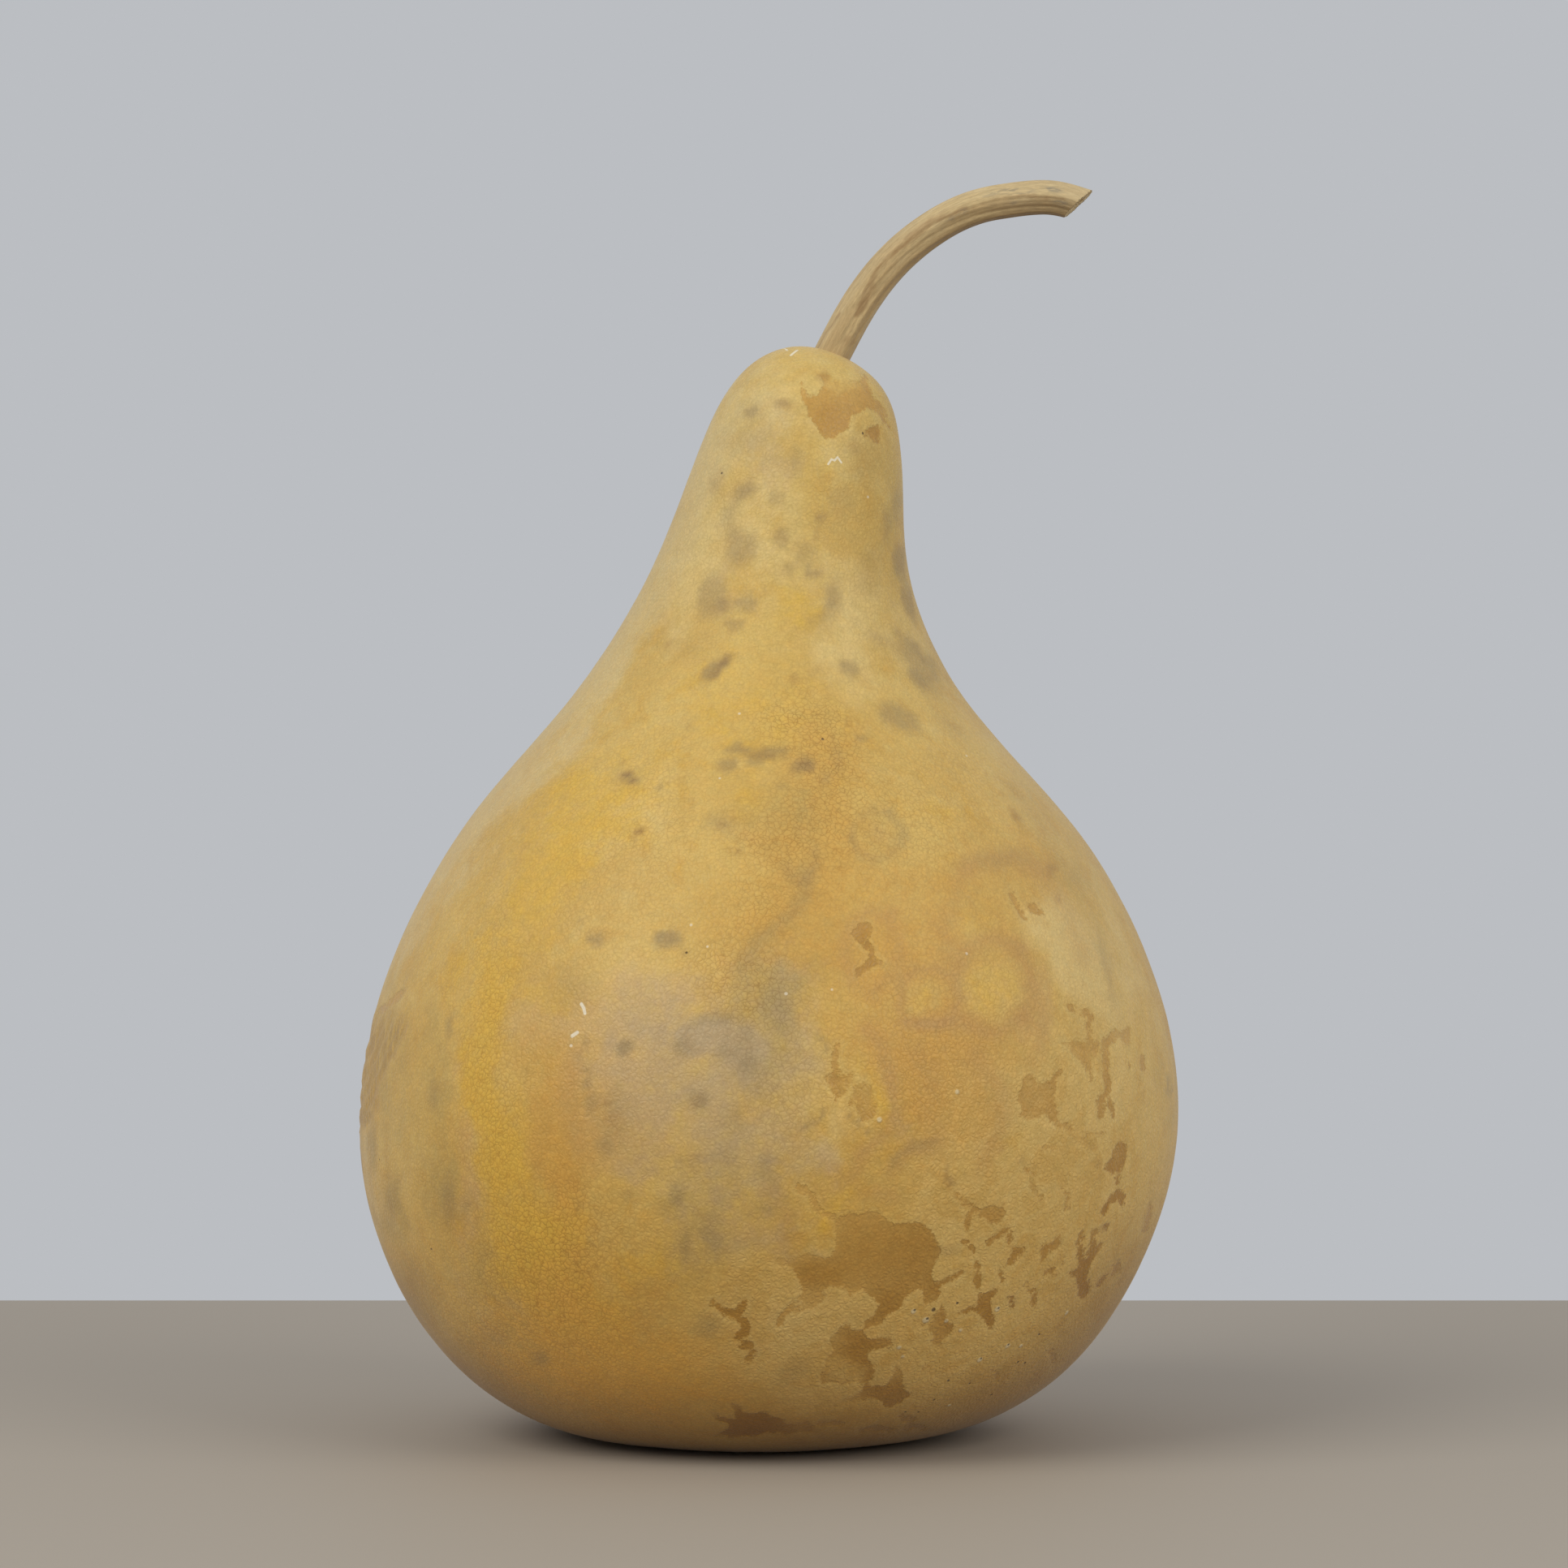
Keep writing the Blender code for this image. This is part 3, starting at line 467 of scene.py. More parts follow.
# Where the outer skin has scaled off, as patches with their corners, seen from the front.
SCALED_PATCHES = (
    ((8, 256.8), (8.6, 254.2), (9.6, 253.2), (12.6, 253.4), (13.4, 256.4), (12.4, 258.6), (14.8, 258.4),
     (15.4, 257), (19, 257.4), (22, 256.8), (23.6, 258.4), (25, 255.6), (25.2, 253), (27.2, 251.6),
     (29, 249.8), (28.6, 248), (29.8, 245.2), (28, 247.4), (26.6, 249.2), (24, 250.6), (22.6, 249),
     (20.6, 248.6), (20, 245.4), (18.2, 244.6), (16.8, 243.5), (16, 242.6), (14, 243.2), (12.4, 244.6),
     (11, 246.6), (9.8, 248.6), (9.6, 250.6), (8, 252.4), (7.6, 254.6)),
    ((22.2, 244), (23.6, 244.6), (25, 245.6), (27, 246), (27.8, 245.4), (27.4, 243.4), (27.8, 241.2),
     (26, 241.8), (25, 242.9), (23.4, 243.4)),
    ((13.5, 87), (17, 87), (20.5, 88), (20.5, 85.5), (19.5, 84.5), (18.5, 82.5), (17.5, 82), (16.3, 80.2),
     (15.8, 83), (14.6, 85)),
    ((23, 85.5), (21, 84.5), (20.5, 82), (21.8, 80), (22, 78), (23, 75.5), (26, 77), (26.6, 80), (25.5, 82),
     (25.2, 84.4)),
    ((20, 122), (22.5, 124.8), (25, 124), (25.4, 122), (23.5, 120.8), (23.6, 119), (22, 120)),
    ((74, 103.8), (76, 102.6), (77, 103.6), (78.6, 103.4), (79.8, 101.2), (77.4, 101.4), (75.5, 102)),
    ((16, 51.6), (17.4, 52.6), (20, 53.6), (22, 53), (24, 54), (27, 53.6), (28.4, 52.2), (30, 50.4),
     (33, 51), (37, 51.2), (39.6, 49), (41, 46.6), (42.4, 43.2), (40.6, 42.2), (40, 40), (39.6, 37.6),
     (40.6, 36.8), (42.2, 36.6), (42.4, 34.4), (40.8, 32), (39, 30.6), (37.9, 31.8), (37.4, 34.6),
     (36.6, 35.4), (35.8, 34), (34.4, 33.9), (33, 32.6), (32.6, 30.6), (31, 29.6), (29, 28.4), (27.4, 26.6),
     (25.6, 25.6), (23.4, 24.6), (22.9, 25.8), (24.6, 27.4), (26.2, 28.8), (26.9, 30.8), (26.4, 32.2),
     (24.8, 33.6), (22.8, 34.7), (21.2, 34.2), (19.8, 33.2), (19.3, 35), (17, 35.2), (15, 35.6),
     (13.3, 34.5), (12.2, 32.4), (10.4, 31.1), (9, 31.2), (7.4, 32), (8.2, 34.4), (7.5, 37), (6.4, 39),
     (5.6, 40.3), (3, 40.6), (0.6, 41), (2.4, 42), (4.6, 42.2), (7.4, 42.6), (9, 43.8), (11, 43.1),
     (13.4, 42.5), (15.6, 43.1), (16.4, 45), (16.8, 48)),
    ((18.4, 25.8), (19.6, 26.2), (20.2, 24.6), (22.6, 24.7), (24.4, 22.8), (27, 22.8), (29.4, 23),
     (30.4, 21.6), (29.2, 20.6), (26.8, 20.3), (24.6, 20), (23.9, 18.4), (24.4, 17.2), (25.9, 16),
     (25.7, 14), (24.4, 12.2), (21, 12), (18, 11.4), (15.4, 12.2), (13.2, 11.4), (12.4, 13), (13.8, 15.2),
     (14.2, 17.6), (15.6, 20), (15.2, 22.6), (17, 24.2)),
    ((23.4, 12), (26, 11.2), (28.6, 11.2), (30, 13), (31, 15.4), (31.6, 16.6), (32.6, 14), (32.7, 11),
     (33.2, 9.6), (35.2, 8.8), (33.4, 8), (32, 6.8), (30, 5.9), (28.4, 6), (27, 7.8), (24.4, 8), (20, 6.9),
     (16, 6.2), (20, 8.2), (22.6, 9.6)),
    ((42.4, 31.4), (43.2, 29), (43.4, 27), (45.8, 25.4), (44, 23.6), (42.4, 22.6), (41.6, 20.9), (40, 21.4),
     (40.4, 24), (39.6, 26.2), (41, 28.8)),
    ((50.8, 36), (52, 33.8), (54, 34.2), (56.6, 35.8), (55.2, 33.6), (54.3, 32), (54.8, 29.6), (55.4, 27),
     (54, 24.6), (52.8, 26.6), (51.8, 29), (49.8, 29.8), (45.8, 28.4), (48, 30.2), (51, 31.2), (51.4, 33)),
    ((-9.4, 6.8), (-7.2, 6.2), (-6.2, 4.9), (-4, 4.2), (-1.6, 4.8), (0.4, 3.8), (2.8, 3.6), (4.2, 2.2),
     (7.4, 2), (9.4, 2.9), (10.8, 1.4), (11.4, -0.3), (7, 0.2), (3.6, -0.3), (0, 0), (-3, -1), (-6, -0.8),
     (-9.6, -1), (-13.2, -0.6), (-10, 0.8), (-9.4, 2), (-12, 2.8), (-14, 4.2), (-10.4, 3.6), (-8.2, 3),
     (-8, 4.8)),
    ((31.4, 3.8), (33.4, 4.2), (36.4, 3), (35, 2.2), (32.6, 2.4)),
    ((84, 98), (86, 98.2), (88.3, 99.3), (88.6, 97), (88.3, 95), (86.8, 94.8), (86, 97), (84.5, 95.3),
     (82.5, 94.5), (82.5, 96.4)),
    ((72, 95), (74, 95.6), (76.6, 95), (80.4, 95.6), (81.2, 93), (80, 91.8), (78.9, 92), (79, 88),
     (78.9, 85.4), (77.6, 89), (75.8, 91.4), (74, 93.2)),
    ((61.6, 84), (62.4, 87.8), (64.6, 87.2), (66, 84.9), (67.6, 85.2), (69.4, 86.6), (72, 89.4),
     (70.2, 85.5), (69.8, 82), (70.4, 79), (71.2, 76.6), (69, 75.6), (67.6, 79), (66.4, 77.2), (64.4, 76.6),
     (61, 77.2), (62, 79.4), (60.6, 81)),
    ((86.1, 72), (87, 70.8), (87.9, 69.8), (87.9, 68), (87.2, 65.6), (86.2, 63.6), (85.6, 60.4),
     (84.8, 60.8), (85, 63.6), (83.4, 62.8), (83, 64), (81.8, 64.6), (83, 65.8), (84.3, 67), (84.2, 68.6),
     (85.2, 70)),
    ((86.4, 59.8), (87.5, 57.5), (86.6, 54.8), (85.3, 56.6), (84, 56), (83, 53.8), (81.8, 52.8), (81.3, 54),
     (82.4, 56), (83.8, 57.8)),
    ((61.8, 64.5), (63, 63.3), (64.3, 61.9), (65, 63.2), (66.4, 64.4), (65, 64), (63.6, 64.9)),
    ((52, 54.4), (54.4, 55.4), (56.8, 54.6), (58, 57.4), (57.8, 53.6), (56, 50.8), (53.8, 51.2), (51.8, 53)),
    ((57.8, 50), (59.6, 49.6), (59.4, 46.6), (60.6, 44.8), (62.6, 45), (61.6, 42.6), (60.2, 41.1),
     (58, 40.9), (58.9, 42.6), (59.4, 44.2), (58.3, 45.6), (58.2, 48)),
    ((65.9, 41.2), (66.9, 43), (66.5, 44.6), (68, 46.1), (69.9, 46.4), (70.5, 47.8), (71.2, 47),
     (70.8, 45.2), (70, 44.2), (68.4, 43.9), (67.5, 42.8), (67, 41.4)),
    ((66.8, 37.8), (67.8, 39.8), (69.4, 40.5), (70.4, 39), (70, 37.6), (69, 38.8)),
    ((75.4, 45), (75.9, 41.5), (75, 38.5), (75.6, 36), (75.6, 32.8), (77, 32.4), (78.4, 34), (78.1, 37),
     (78, 40), (79.2, 42), (80.3, 43.6), (79.4, 43.9), (77.7, 42.2), (76.9, 43), (76.3, 45.6)),
    ((71.2, 41.4), (71.2, 43.6), (72, 43), (72, 41.4)),
    ((63, 127.5), (63.3, 129), (65, 129.3), (67, 127.2), (67.5, 125.8), (65.5, 127)),
    ((81.3, 49.4), (81.8, 50.3), (82.9, 50.8), (82.6, 49.4)),
    ((20, 79), (19.6, 81), (20.6, 80.6)),
)

# The scaled lines and cracks that run out from them: half width, then points.
SCALED_LINES = (
    (0.6, ((16.5, 88), (16, 90), (16.4, 93), (17, 95))),
    (0.7, ((23.6, 119.5), (25, 117.5), (25.3, 115), (23.5, 113.3), (21.8, 112.3))),
    (0.5, ((25, 115.4), (27, 114.8))), (0.5, ((59.3, 132.2), (60.3, 129.5), (62.5, 126))),
    (0.5, ((73, 104.6), (74.4, 103.6))), (0.5, ((79, 101.6), (78, 99.8), (78.7, 97.4), (78.7, 95))),
    (0.7, ((82.5, 95.6), (82.5, 91), (82.5, 88), (83.3, 84), (81.2, 81), (81.3, 77.5))),
    (0.6, ((71, 74.8), (72.8, 75), (74.2, 73.3))), (0.5, ((67.5, 70), (69.5, 69.4), (71.5, 69.3))),
    (0.5, ((83.5, 80.5), (84.5, 77.2))), (0.4, ((93.6, 55.5), (92.8, 52), (92, 49))),
    (0.4, ((91, 92), (91.7, 89))), (0.5, ((64.5, 61), (65.4, 59), (66.8, 57))),
    (0.7, ((46, 58.3), (48, 56), (50.5, 54), (53, 53))), (0.6, ((49.5, 54), (48.8, 52), (48.2, 50))),
    (0.5, ((54, 46.5), (56, 48), (58, 49.5))), (0.5, ((76.7, 48.5), (76, 44.6), (76.2, 42))),
    (0.55, ((79.5, 49), (79.4, 46), (78.6, 43.4))), (0.45, ((81.2, 46), (79.8, 43.4))),
    (0.5, ((73.8, 38.4), (75.6, 39))), (0.45, ((80.6, 36), (82, 37.8))), (0.4, ((83.8, 38), (85.6, 41.4))),
    (0.45, ((70.6, 47), (71.2, 47.8))), (0.5, ((51, 40.5), (51.3, 38), (51.5, 36))),
    (0.5, ((36, 26.8), (38.4, 26), (40.4, 25))), (0.5, ((51, 41), (50.6, 38.4), (51, 36))),
    (0.45, ((56.6, 39), (57.4, 37.6))), (0.5, ((59.2, 33), (59.8, 30.6))),
    (0.5, ((33.4, 0.6), (35.6, 1.3), (37.6, 0.9))), (0.5, ((42, 36.4), (45, 37.6), (47.4, 39.4))),
    (0.7, ((13, 33), (10, 30.4), (6, 30))), (0.4, ((12, 1.9), (14.6, 2.2), (17.6, 1.7))),
    (0.4, ((22.4, 0.2), (26, 0.8), (29.6, 0.4))), (0.5, ((69, 20), (70, 17))), (0.5, ((55, 15), (56, 13))),
    (0.8, ((-13.5, 31.5), (-10, 29), (-8, 28.5), (-6, 31.5))),
    (0.8, ((-8, 28.5), (-6, 27), (-5.5, 24.5), (-8, 23.2))),
    (0.7, ((-6.5, 21), (-4.5, 21), (-3.8, 19.5), (-5, 17.5))),
    (0.7, ((7, 60), (9, 59), (11, 57.5), (11, 55.5), (13, 53.6), (15.5, 52.5))),
    (0.45, ((74, 74), (76, 71), (80, 69.5))), (0.4, ((76, 71), (78.5, 72.8), (82, 73))),
    (0.4, ((87, 90.6), (88.2, 89.4))), (0.4, ((84.4, 40.6), (85.8, 39.4))),
    (0.45, ((-89, 108), (-92, 105.4), (-95, 103))), (0.5, ((6, 31), (3.5, 28.6), (2.5, 26))),
    (0.5, ((63, 36), (65, 33.6), (64.5, 31))), (0.5, ((47, 47), (49.6, 45.8), (50, 43.6))),
    (0.4, ((71.5, 60), (73.6, 57.4), (73, 54.5))),
)

# Where a thin film of the outer skin is left over the bare rind.
FADED = (
    (5.5, 49, 3, 8, 0.6, 0, 0.7), (18.5, 14.6, 5, 3, 0.8, 0, 0.7), (16, 21, 3, 4, 0.4),
    (17.6, 256.8, 5, 1.9, 0.55, -4, 0.6), (28, 249, 2, 2.4, 0.25, 0, 0.8), (11, 48, 5.4, 5, 0.5, 0, 0.6),
    (24, 84, 5, 6, 0.5, 0, 0.8), (18, 85, 4, 4, 0.3), (31, 14, 2, 2.4, 0.3, 0, 0.8),
    (3, 41, 3, 2, 0.4, 0, 0.8), (76, 71, 8, 4, 0.6, 0, 0.8), (64, 60, 4, 4, 0.4, 0, 0.8),
    (76, 93, 6, 5, 0.45), (66, 82, 5, 5, 0.4), (86, 97, 3, 3, 0.4), (76, 102.6, 4, 3, 0.3),
    (18, 8, 4, 2.4, 0.6, 0, 0.8), (8, 1, 4, 2.4, 0.35, 0, 0.8), (54, 53, 5, 4, 0.2), (38, 28, 4, 4, 0.4),
    (9, 31, 3, 3, 0.3),
)

# How dark the bare rind is where the skin has scaled off.
BARE_TONES = (
    (12, 38.4, 7, 3.6, 0.75, 0, 0.7), (31, 41, 12, 10, 0.5, 0, 0.7), (20, 47, 5, 6, 0.3, 0, 0.7),
    (30, 30, 9, 4, 0.75, 0, 0.6), (37, 47, 5, 5, 0.25, 0, 0.8), (22, 20, 9, 6, 0.9, 0, 0.8),
    (20, 14, 8, 4, 0.7, 0, 0.7), (6, 2, 6, 4, 0.5, 0, 0.6), (30, 9, 7, 5, 0.8, 0, 0.6),
    (-4, 2, 9, 4, 1.0, 0, 0.6), (85, 65, 4, 12, 0.8, 0, 0.6), (84, 55, 4, 5, 0.95, 0, 0.6),
    (60, 45, 26, 12, 0.7, 0, 0.8), (52, 29, 16, 8, 0.95, 0, 0.8), (-8, 26, 8, 10, 0.95, 0, 0.8),
    (-16, 24, 8, 9, 0.6, 0, 0.8), (80, 90, 12, 20, 0.4, 0, 0.8), (66, 82, 8, 8, 0.55, 0, 0.8),
    (15, 247, 8, 6, 0.55, 0, 0.8), (26, 251, 4, 6, 0.4, 0, 0.8), (26, 244, 4, 4, 0.6, 0, 0.8),
    (20, 82, 9, 9, 0.75, 0, 0.8), (23, 118, 5, 8, 0.8, 0, 0.8), (77, 39, 5, 8, 1.0, 0, 0.6),
    (66, 127, 8, 8, 0.35, 0, 0.8), (76, 102, 6, 4, 0.4, 0, 0.8),
)

# Painted shade on the lower edges at the left and right, where the rind turns down towards the table.
PAINTED_EDGE_SHADE = (
    (85, 26, 12, 22, 0.9, -30), (63, 11, 22, 8, 0.8, 28), (-73, 9, 28, 9, 1.0, -36),
    (-92, 28, 9, 12, 0.6, 22),
)

# Nothing that grew or rotted is a neat ellipse, so places are shifted by soft swells before the
# spots are laid: zones by a few millimetres, small marks by less than one.
drift = [
    3.4 * waves(form, 0.024, 11 + k) + 1.5 * waves(form, 0.010, 13 + k) + 0.6 * waves(form, 0.005, 15 + k)
    for k in (0, 1)
]
zone_right, zone_up = right + drift[0], up + drift[1]
jitter = [0.55 * waves(form, 0.007, 17 + k) + 0.45 * waves(form, 0.0035, 19 + k) for k in (0, 1)]
mark_right, mark_up = right + jitter[0], up + jitter[1]
for name, marks in ZONES.items():
    add_spots(layers[name], zone_right, zone_up, shown, marks)
# The colour is bluer near the crown and warmer near the foot: painted warm light thrown up by the
# table. Close to the ground there is painted shade.
BOUNCE_WARMS_BELOW = 220
PAINTED_SHADE_BELOW = 17
layers["bounce_warmth"] = np.clip((BOUNCE_WARMS_BELOW - up) / BOUNCE_WARMS_BELOW, 0, 1)
layers["shade"] = 0.95 * np.clip((PAINTED_SHADE_BELOW - up) / PAINTED_SHADE_BELOW, 0, 1) ** 1.3
for name, marks in (("mould", MOULD), ("umber", UMBER), ("faded", FADED)):
    add_spots(layers[name], mark_right, mark_up, shown, marks)
for name, strokes in (("mould", MOULD_LINES), ("rusty", RUSTY_LINES)):
    add_strokes(layers[name], mark_right, mark_up, shown, strokes)
# The painted shade at the lower edges goes into the shade layer.
for name, marks in (("bare", BARE_TONES), ("shade", PAINTED_EDGE_SHADE)):
    add_spots(layers[name], right, up, shown, marks)

# Millimetres to the nearest place where the skin has scaled off, less than 0 on it. The noise that
# frays the edges takes some of each place away, so patches are drawn a little wider, and lines more.
FAR = 6.0
PATCH_WIDER = 0.06
LINE_WIDER = 0.18
scaled = np.full(right.shape, FAR)
hidden = FAR * (1 - shown)
for corners in SCALED_PATCHES:
    scaled = np.minimum(scaled, patch_distance(right, up, corners) - PATCH_WIDER + hidden)
for half_width, points in SCALED_LINES:
    scaled = np.minimum(scaled, line_distance(right, up, points) - half_width - LINE_WIDER + hidden)

# The sides and the back, which the photograph doesn't show, carry marks of the same kinds. A mark's
# own place is told by its angle round the axis in degrees and its height in millimetres, and
# distances from it run along the skin.
row_height = form[:, :, 2].mean(1) * 1000


def along_skin(angle, height):
    """Millimetres east and up along the skin from a place on it to every vertex: the turn times
    the radius there, and the difference in length along the profile."""
    row = len(SCAR) - 1 + np.abs(row_height[len(SCAR) - 1 :] - height).argmin()
    off = (column_angle - np.radians(angle) + np.pi) % (2 * np.pi) - np.pi
    return off[None, :] * row_radius[row] + 0 * up, (row_length - row_length[row])[:, None] + 0 * up


unseen = 1 - shown
BACK_ZONES = {
    "golden": (
        (165, 95, 22, 40, 0.7), (120, 60, 30, 26, 0.6, 10), (60, 105, 26, 34, 0.7), (90, 165, 24, 22, 0.6),
        (40, 180, 16, 20, 0.5), (150, 150, 18, 24, 0.5), (90, 225, 14, 16, 0.4), (20, 130, 20, 18, 0.4),
    ),
    "straw": (
        (195, 70, 12, 40, 0.6), (140, 105, 16, 40, 0.6), (75, 135, 16, 26, 0.5), (170, 215, 14, 36, 0.6),
        (110, 245, 14, 14, 0.4), (10, 100, 14, 34, 0.5), (175, 150, 14, 24, 0.4),
    ),
    "rose": (
        (100, 95, 22, 24, 0.6), (45, 75, 16, 18, 0.4), (130, 190, 14, 14, 0.3),
    ),
    "olive": (
        (185, 78, 6, 34, 0.5), (155, 60, 8, 30, 0.5), (85, 70, 18, 24, 0.5), (30, 210, 8, 30, 0.5),
        (120, 130, 12, 20, 0.35), (65, 190, 14, 16, 0.35), (0, 75, 6, 30, 0.4),
    ),
    "ginger": (
        (170, 30, 30, 16, 0.5), (70, 40, 40, 16, 0.55), (110, 145, 16, 16, 0.35), (50, 120, 14, 14, 0.4),
    ),
    "amber": (
        (120, 28, 30, 12, 0.6), (45, 24, 30, 12, 0.6), (75, 102, 14, 16, 0.5), (150, 82, 9, 26, 0.5),
    ),
    "violet": (
        (104, 84, 18, 18, 0.6), (62, 62, 14, 12, 0.45), (138, 118, 12, 12, 0.4), (90, 120, 14, 9, 0.4),
    ),
    "bloom": (
        (155, 175, 12, 26, 0.7), (100, 200, 12, 20, 0.5), (60, 168, 10, 20, 0.4),
    ),
    "crust": (
        (10, 50, 34, 36, 0.95, 0, 0.4), (48, 42, 36, 30, 0.9, 0, 0.5), (85, 28, 26, 16, 0.7, 0, 0.6),
        (135, 25, 22, 12, 0.5, 0, 0.8), (25, 88, 18, 16, 0.6, 0, 0.7),
    ),
    "crazed": (
        (165, 95, 22, 40, 0.5), (60, 110, 26, 30, 0.45), (100, 160, 24, 20, 0.6), (120, 60, 26, 24, 0.6),
    ),
    "bare": (
        (0, 40, 300, 40, 0.7, 0, 0.8), (0, 110, 300, 60, 0.3, 0, 0.8),
    ),
}
for name, marks in BACK_ZONES.items():
    for angle, height, *mark in marks:
        u, v = along_skin(angle, height)
        add_spots(layers[name], u, v, unseen, ((0, 0, *mark),))

# Spots of mould with a brown core here and there, then rings of it, then places scaled off, each with
# a crack that runs out from it.
MOULD_PLACES = 46
MOULD_RINGS = 6
SCALED_PLACES = 40
dice = np.random.default_rng(41)
for place in range(MOULD_PLACES):
    angle, height = dice.uniform(-8, 188), dice.choice((dice.uniform(20, 150), dice.uniform(150, 255)))
    u, v = along_skin(angle, height)
    size, lean, strength = dice.uniform(1.2, 4.6), dice.uniform(-50, 50), dice.uniform(0.25, 0.7)
    for bud in range(dice.integers(1, 4)):
        off = dice.normal(0, size * 0.9, 2) * (bud > 0)
        mark = (*off, size * dice.uniform(0.6, 1.2), size * dice.uniform(0.4, 0.9), strength, lean, 0.7)
        add_spots(layers["mould"], u, v, unseen, (mark,))
    if dice.random() < 0.4:
        add_spots(layers["umber"], u, v, unseen, ((0, 0, 0.4 * size, 0.3 * size, 0.6, lean, 0.7),))
for place in range(MOULD_RINGS):
    u, v = along_skin(dice.uniform(10, 170), dice.uniform(90, 200))
    radius, start = dice.uniform(5, 10), dice.uniform(0, 2 * np.pi)
    ring = [(radius * np.cos(start + a), radius * np.sin(start + a)) for a in np.linspace(0, 5.2, 14)]
    add_strokes(layers["mould"], u, v, unseen, ((dice.uniform(1.8, 3.0), 0.17, ring),))


def ragged_blob(u, v, size, dice):
    """Distance to the outline of a lobed patch: distance from its middle less size times
    (1 + random waves round it)."""
    angle, far = np.arctan2(v, u), np.hypot(u, v)
    lobes = 0
    for k in (1, 2, 3, 5, 7):
        lobes = lobes + dice.uniform(-0.5, 0.5) / k**0.6 * np.cos(k * angle + dice.uniform(0, 6.3))
    return far - size * (1 + lobes)


for place in range(SCALED_PLACES):
    angle, height = dice.uniform(-14, 120), abs(dice.normal(0, 40)) + 8
    u, v = along_skin(angle, height)
    near = ragged_blob(u, v, dice.choice((1.2, 2.0, 3.2, 6.0), p=(0.4, 0.3, 0.2, 0.1)), dice)
    strides = dice.normal(0, 2.2, (4, 2)) + dice.normal(0, 1.6, 2)
    walk = np.cumsum(np.concatenate([[[0, 0]], strides]), axis=0).tolist()
    near = np.minimum(near, line_distance(u, v, walk) - dice.uniform(0.4, 0.9))
    scaled = np.minimum(scaled, near + FAR * shown)

# The thick, wrinkled rind at the left edge of the picture, which goes on round the side.
WRINKLED_PATCH = (
    (-88.2, 101), (-89.6, 97), (-92, 92.6), (-94, 88), (-95.6, 83), (-97.2, 76), (-104, 70), (-104, 108),
    (-94, 105),
)
WRINKLED_TOP = 106
WRINKLED_EDGE = 1.8
WRINKLED_BEHIND = 184, 87, 12, 17  # angle, height, half width, half height
fold = 0.8 * waves(form, 0.006, 23)
in_front = np.clip(0.5 - (patch_distance(right, up, WRINKLED_PATCH) + fold) / WRINKLED_EDGE, 0, 1)
in_front *= np.clip((WRINKLED_TOP - up) / 8, 0, 1)
angle, height, half_width, half_height = WRINKLED_BEHIND
u, v = along_skin(angle, height)
outside = half_width * (np.hypot(u / half_width, v / half_height) - 1) + fold + 2.4 * waves(form, 0.012, 27)
behind = np.clip(0.5 - outside / WRINKLED_EDGE, 0, 1)
layers["wrinkled"] = in_front * shown + behind * unseen

# Relief along the normals, in millimetres: swells, places scaled off, and furrows across the wrinkled
# rind. It dies away under the foot, where the skin is puckered round the flower's scar.
SCALED_DEPTH = 0.17
FURROW_GAP = 1.7
PLEATS = 17
PLEAT_HEIGHT = 0.10
relief = -0.16 + 0.16 * waves(form, 0.055, 1) + 0.07 * waves(form, 0.020, 2) + 0.025 * waves(form, 0.008, 3)
relief -= SCALED_DEPTH * np.clip(0.5 - scaled / 1.2, 0, 1)
furrow = (right * 0.91 - up * 0.42) * 2 * np.pi / FURROW_GAP + 1.6 * waves(form, 0.007, 5)
relief += layers["wrinkled"] * (0.2 * np.sin(furrow) - 0.15)
relief *= np.clip((row_length - 26) / 18, 0, 1)[:, None]
pleats = np.clip(np.sin(PLEATS * column_angle + 0.6 * np.sin(3 * column_angle)), 0, 1)[None, :]
pucker = PLEAT_HEIGHT * np.clip(1 - row_length / 34, 0, 1)[:, None] * pleats
skin_points = form + normals * (relief / 1000)[..., None]
skin_points[..., 2] += pucker / 1000
scar_middle = (form[0, :, 0].mean(), form[0, :, 1].mean(), SCAR[0][1] / 1000)
apex = (*SECTIONS[-1, 2:], FRUIT_HEIGHT - 0.0002)
gourd = closed_skin("gourd.skin", skin_points, scar_middle, apex)
for name, values in layers.items():
    keep_layer(gourd, name, values)
keep_layer(gourd, "scaled", scaled)


def on_skin(mark_right, mark_up):
    """The place on the skin that appears at a place in the picture: where the line of sight
    meets the plane that touches the skin at the nearest vertex seen."""
    off = np.hypot(right - mark_right, up - mark_up) + 1000 * (facing < 0.03)
    i = np.unravel_index(off.argmin(), off.shape)
    sight = np.array([mark_right / 1000, 0, mark_up / 1000]) - EYE
    reach = (skin_points[i] - EYE) @ normals[i] / (sight @ normals[i])
    return EYE + sight * reach


# Tiny marks, each a row of dots: radius, then right and up of each dot.
SCUFFS = (
    (0.2, (14.5, 236.5), (15.3, 237.7), (16, 237.4), (16.8, 238.2), (17.7, 236.9)),
    (0.22, (0.6, 264.3), (3.1, 264.8), (4.5, 264.3)), (0.30, (5.4, 263.1), (6.9, 264.3)),
    (0.34, (-45.8, 104.7), (-45.2, 103.7), (-44.9, 102.4)), (0.40, (-48, 96.9), (-46.8, 97.7)),
)
SPECKS = (
    (0.35, (-48.3, 94.5)), (0.35, (4.2, 107.2)), (0.25, (15.4, 108.2), (-15, 118.7), (-12, 159.8)),
    (0.3, (48.3, 117), (-7.2, 175.6), (-19, 124)), (0.3, (48.3, 165.3), (24.2, 228.5)),
)
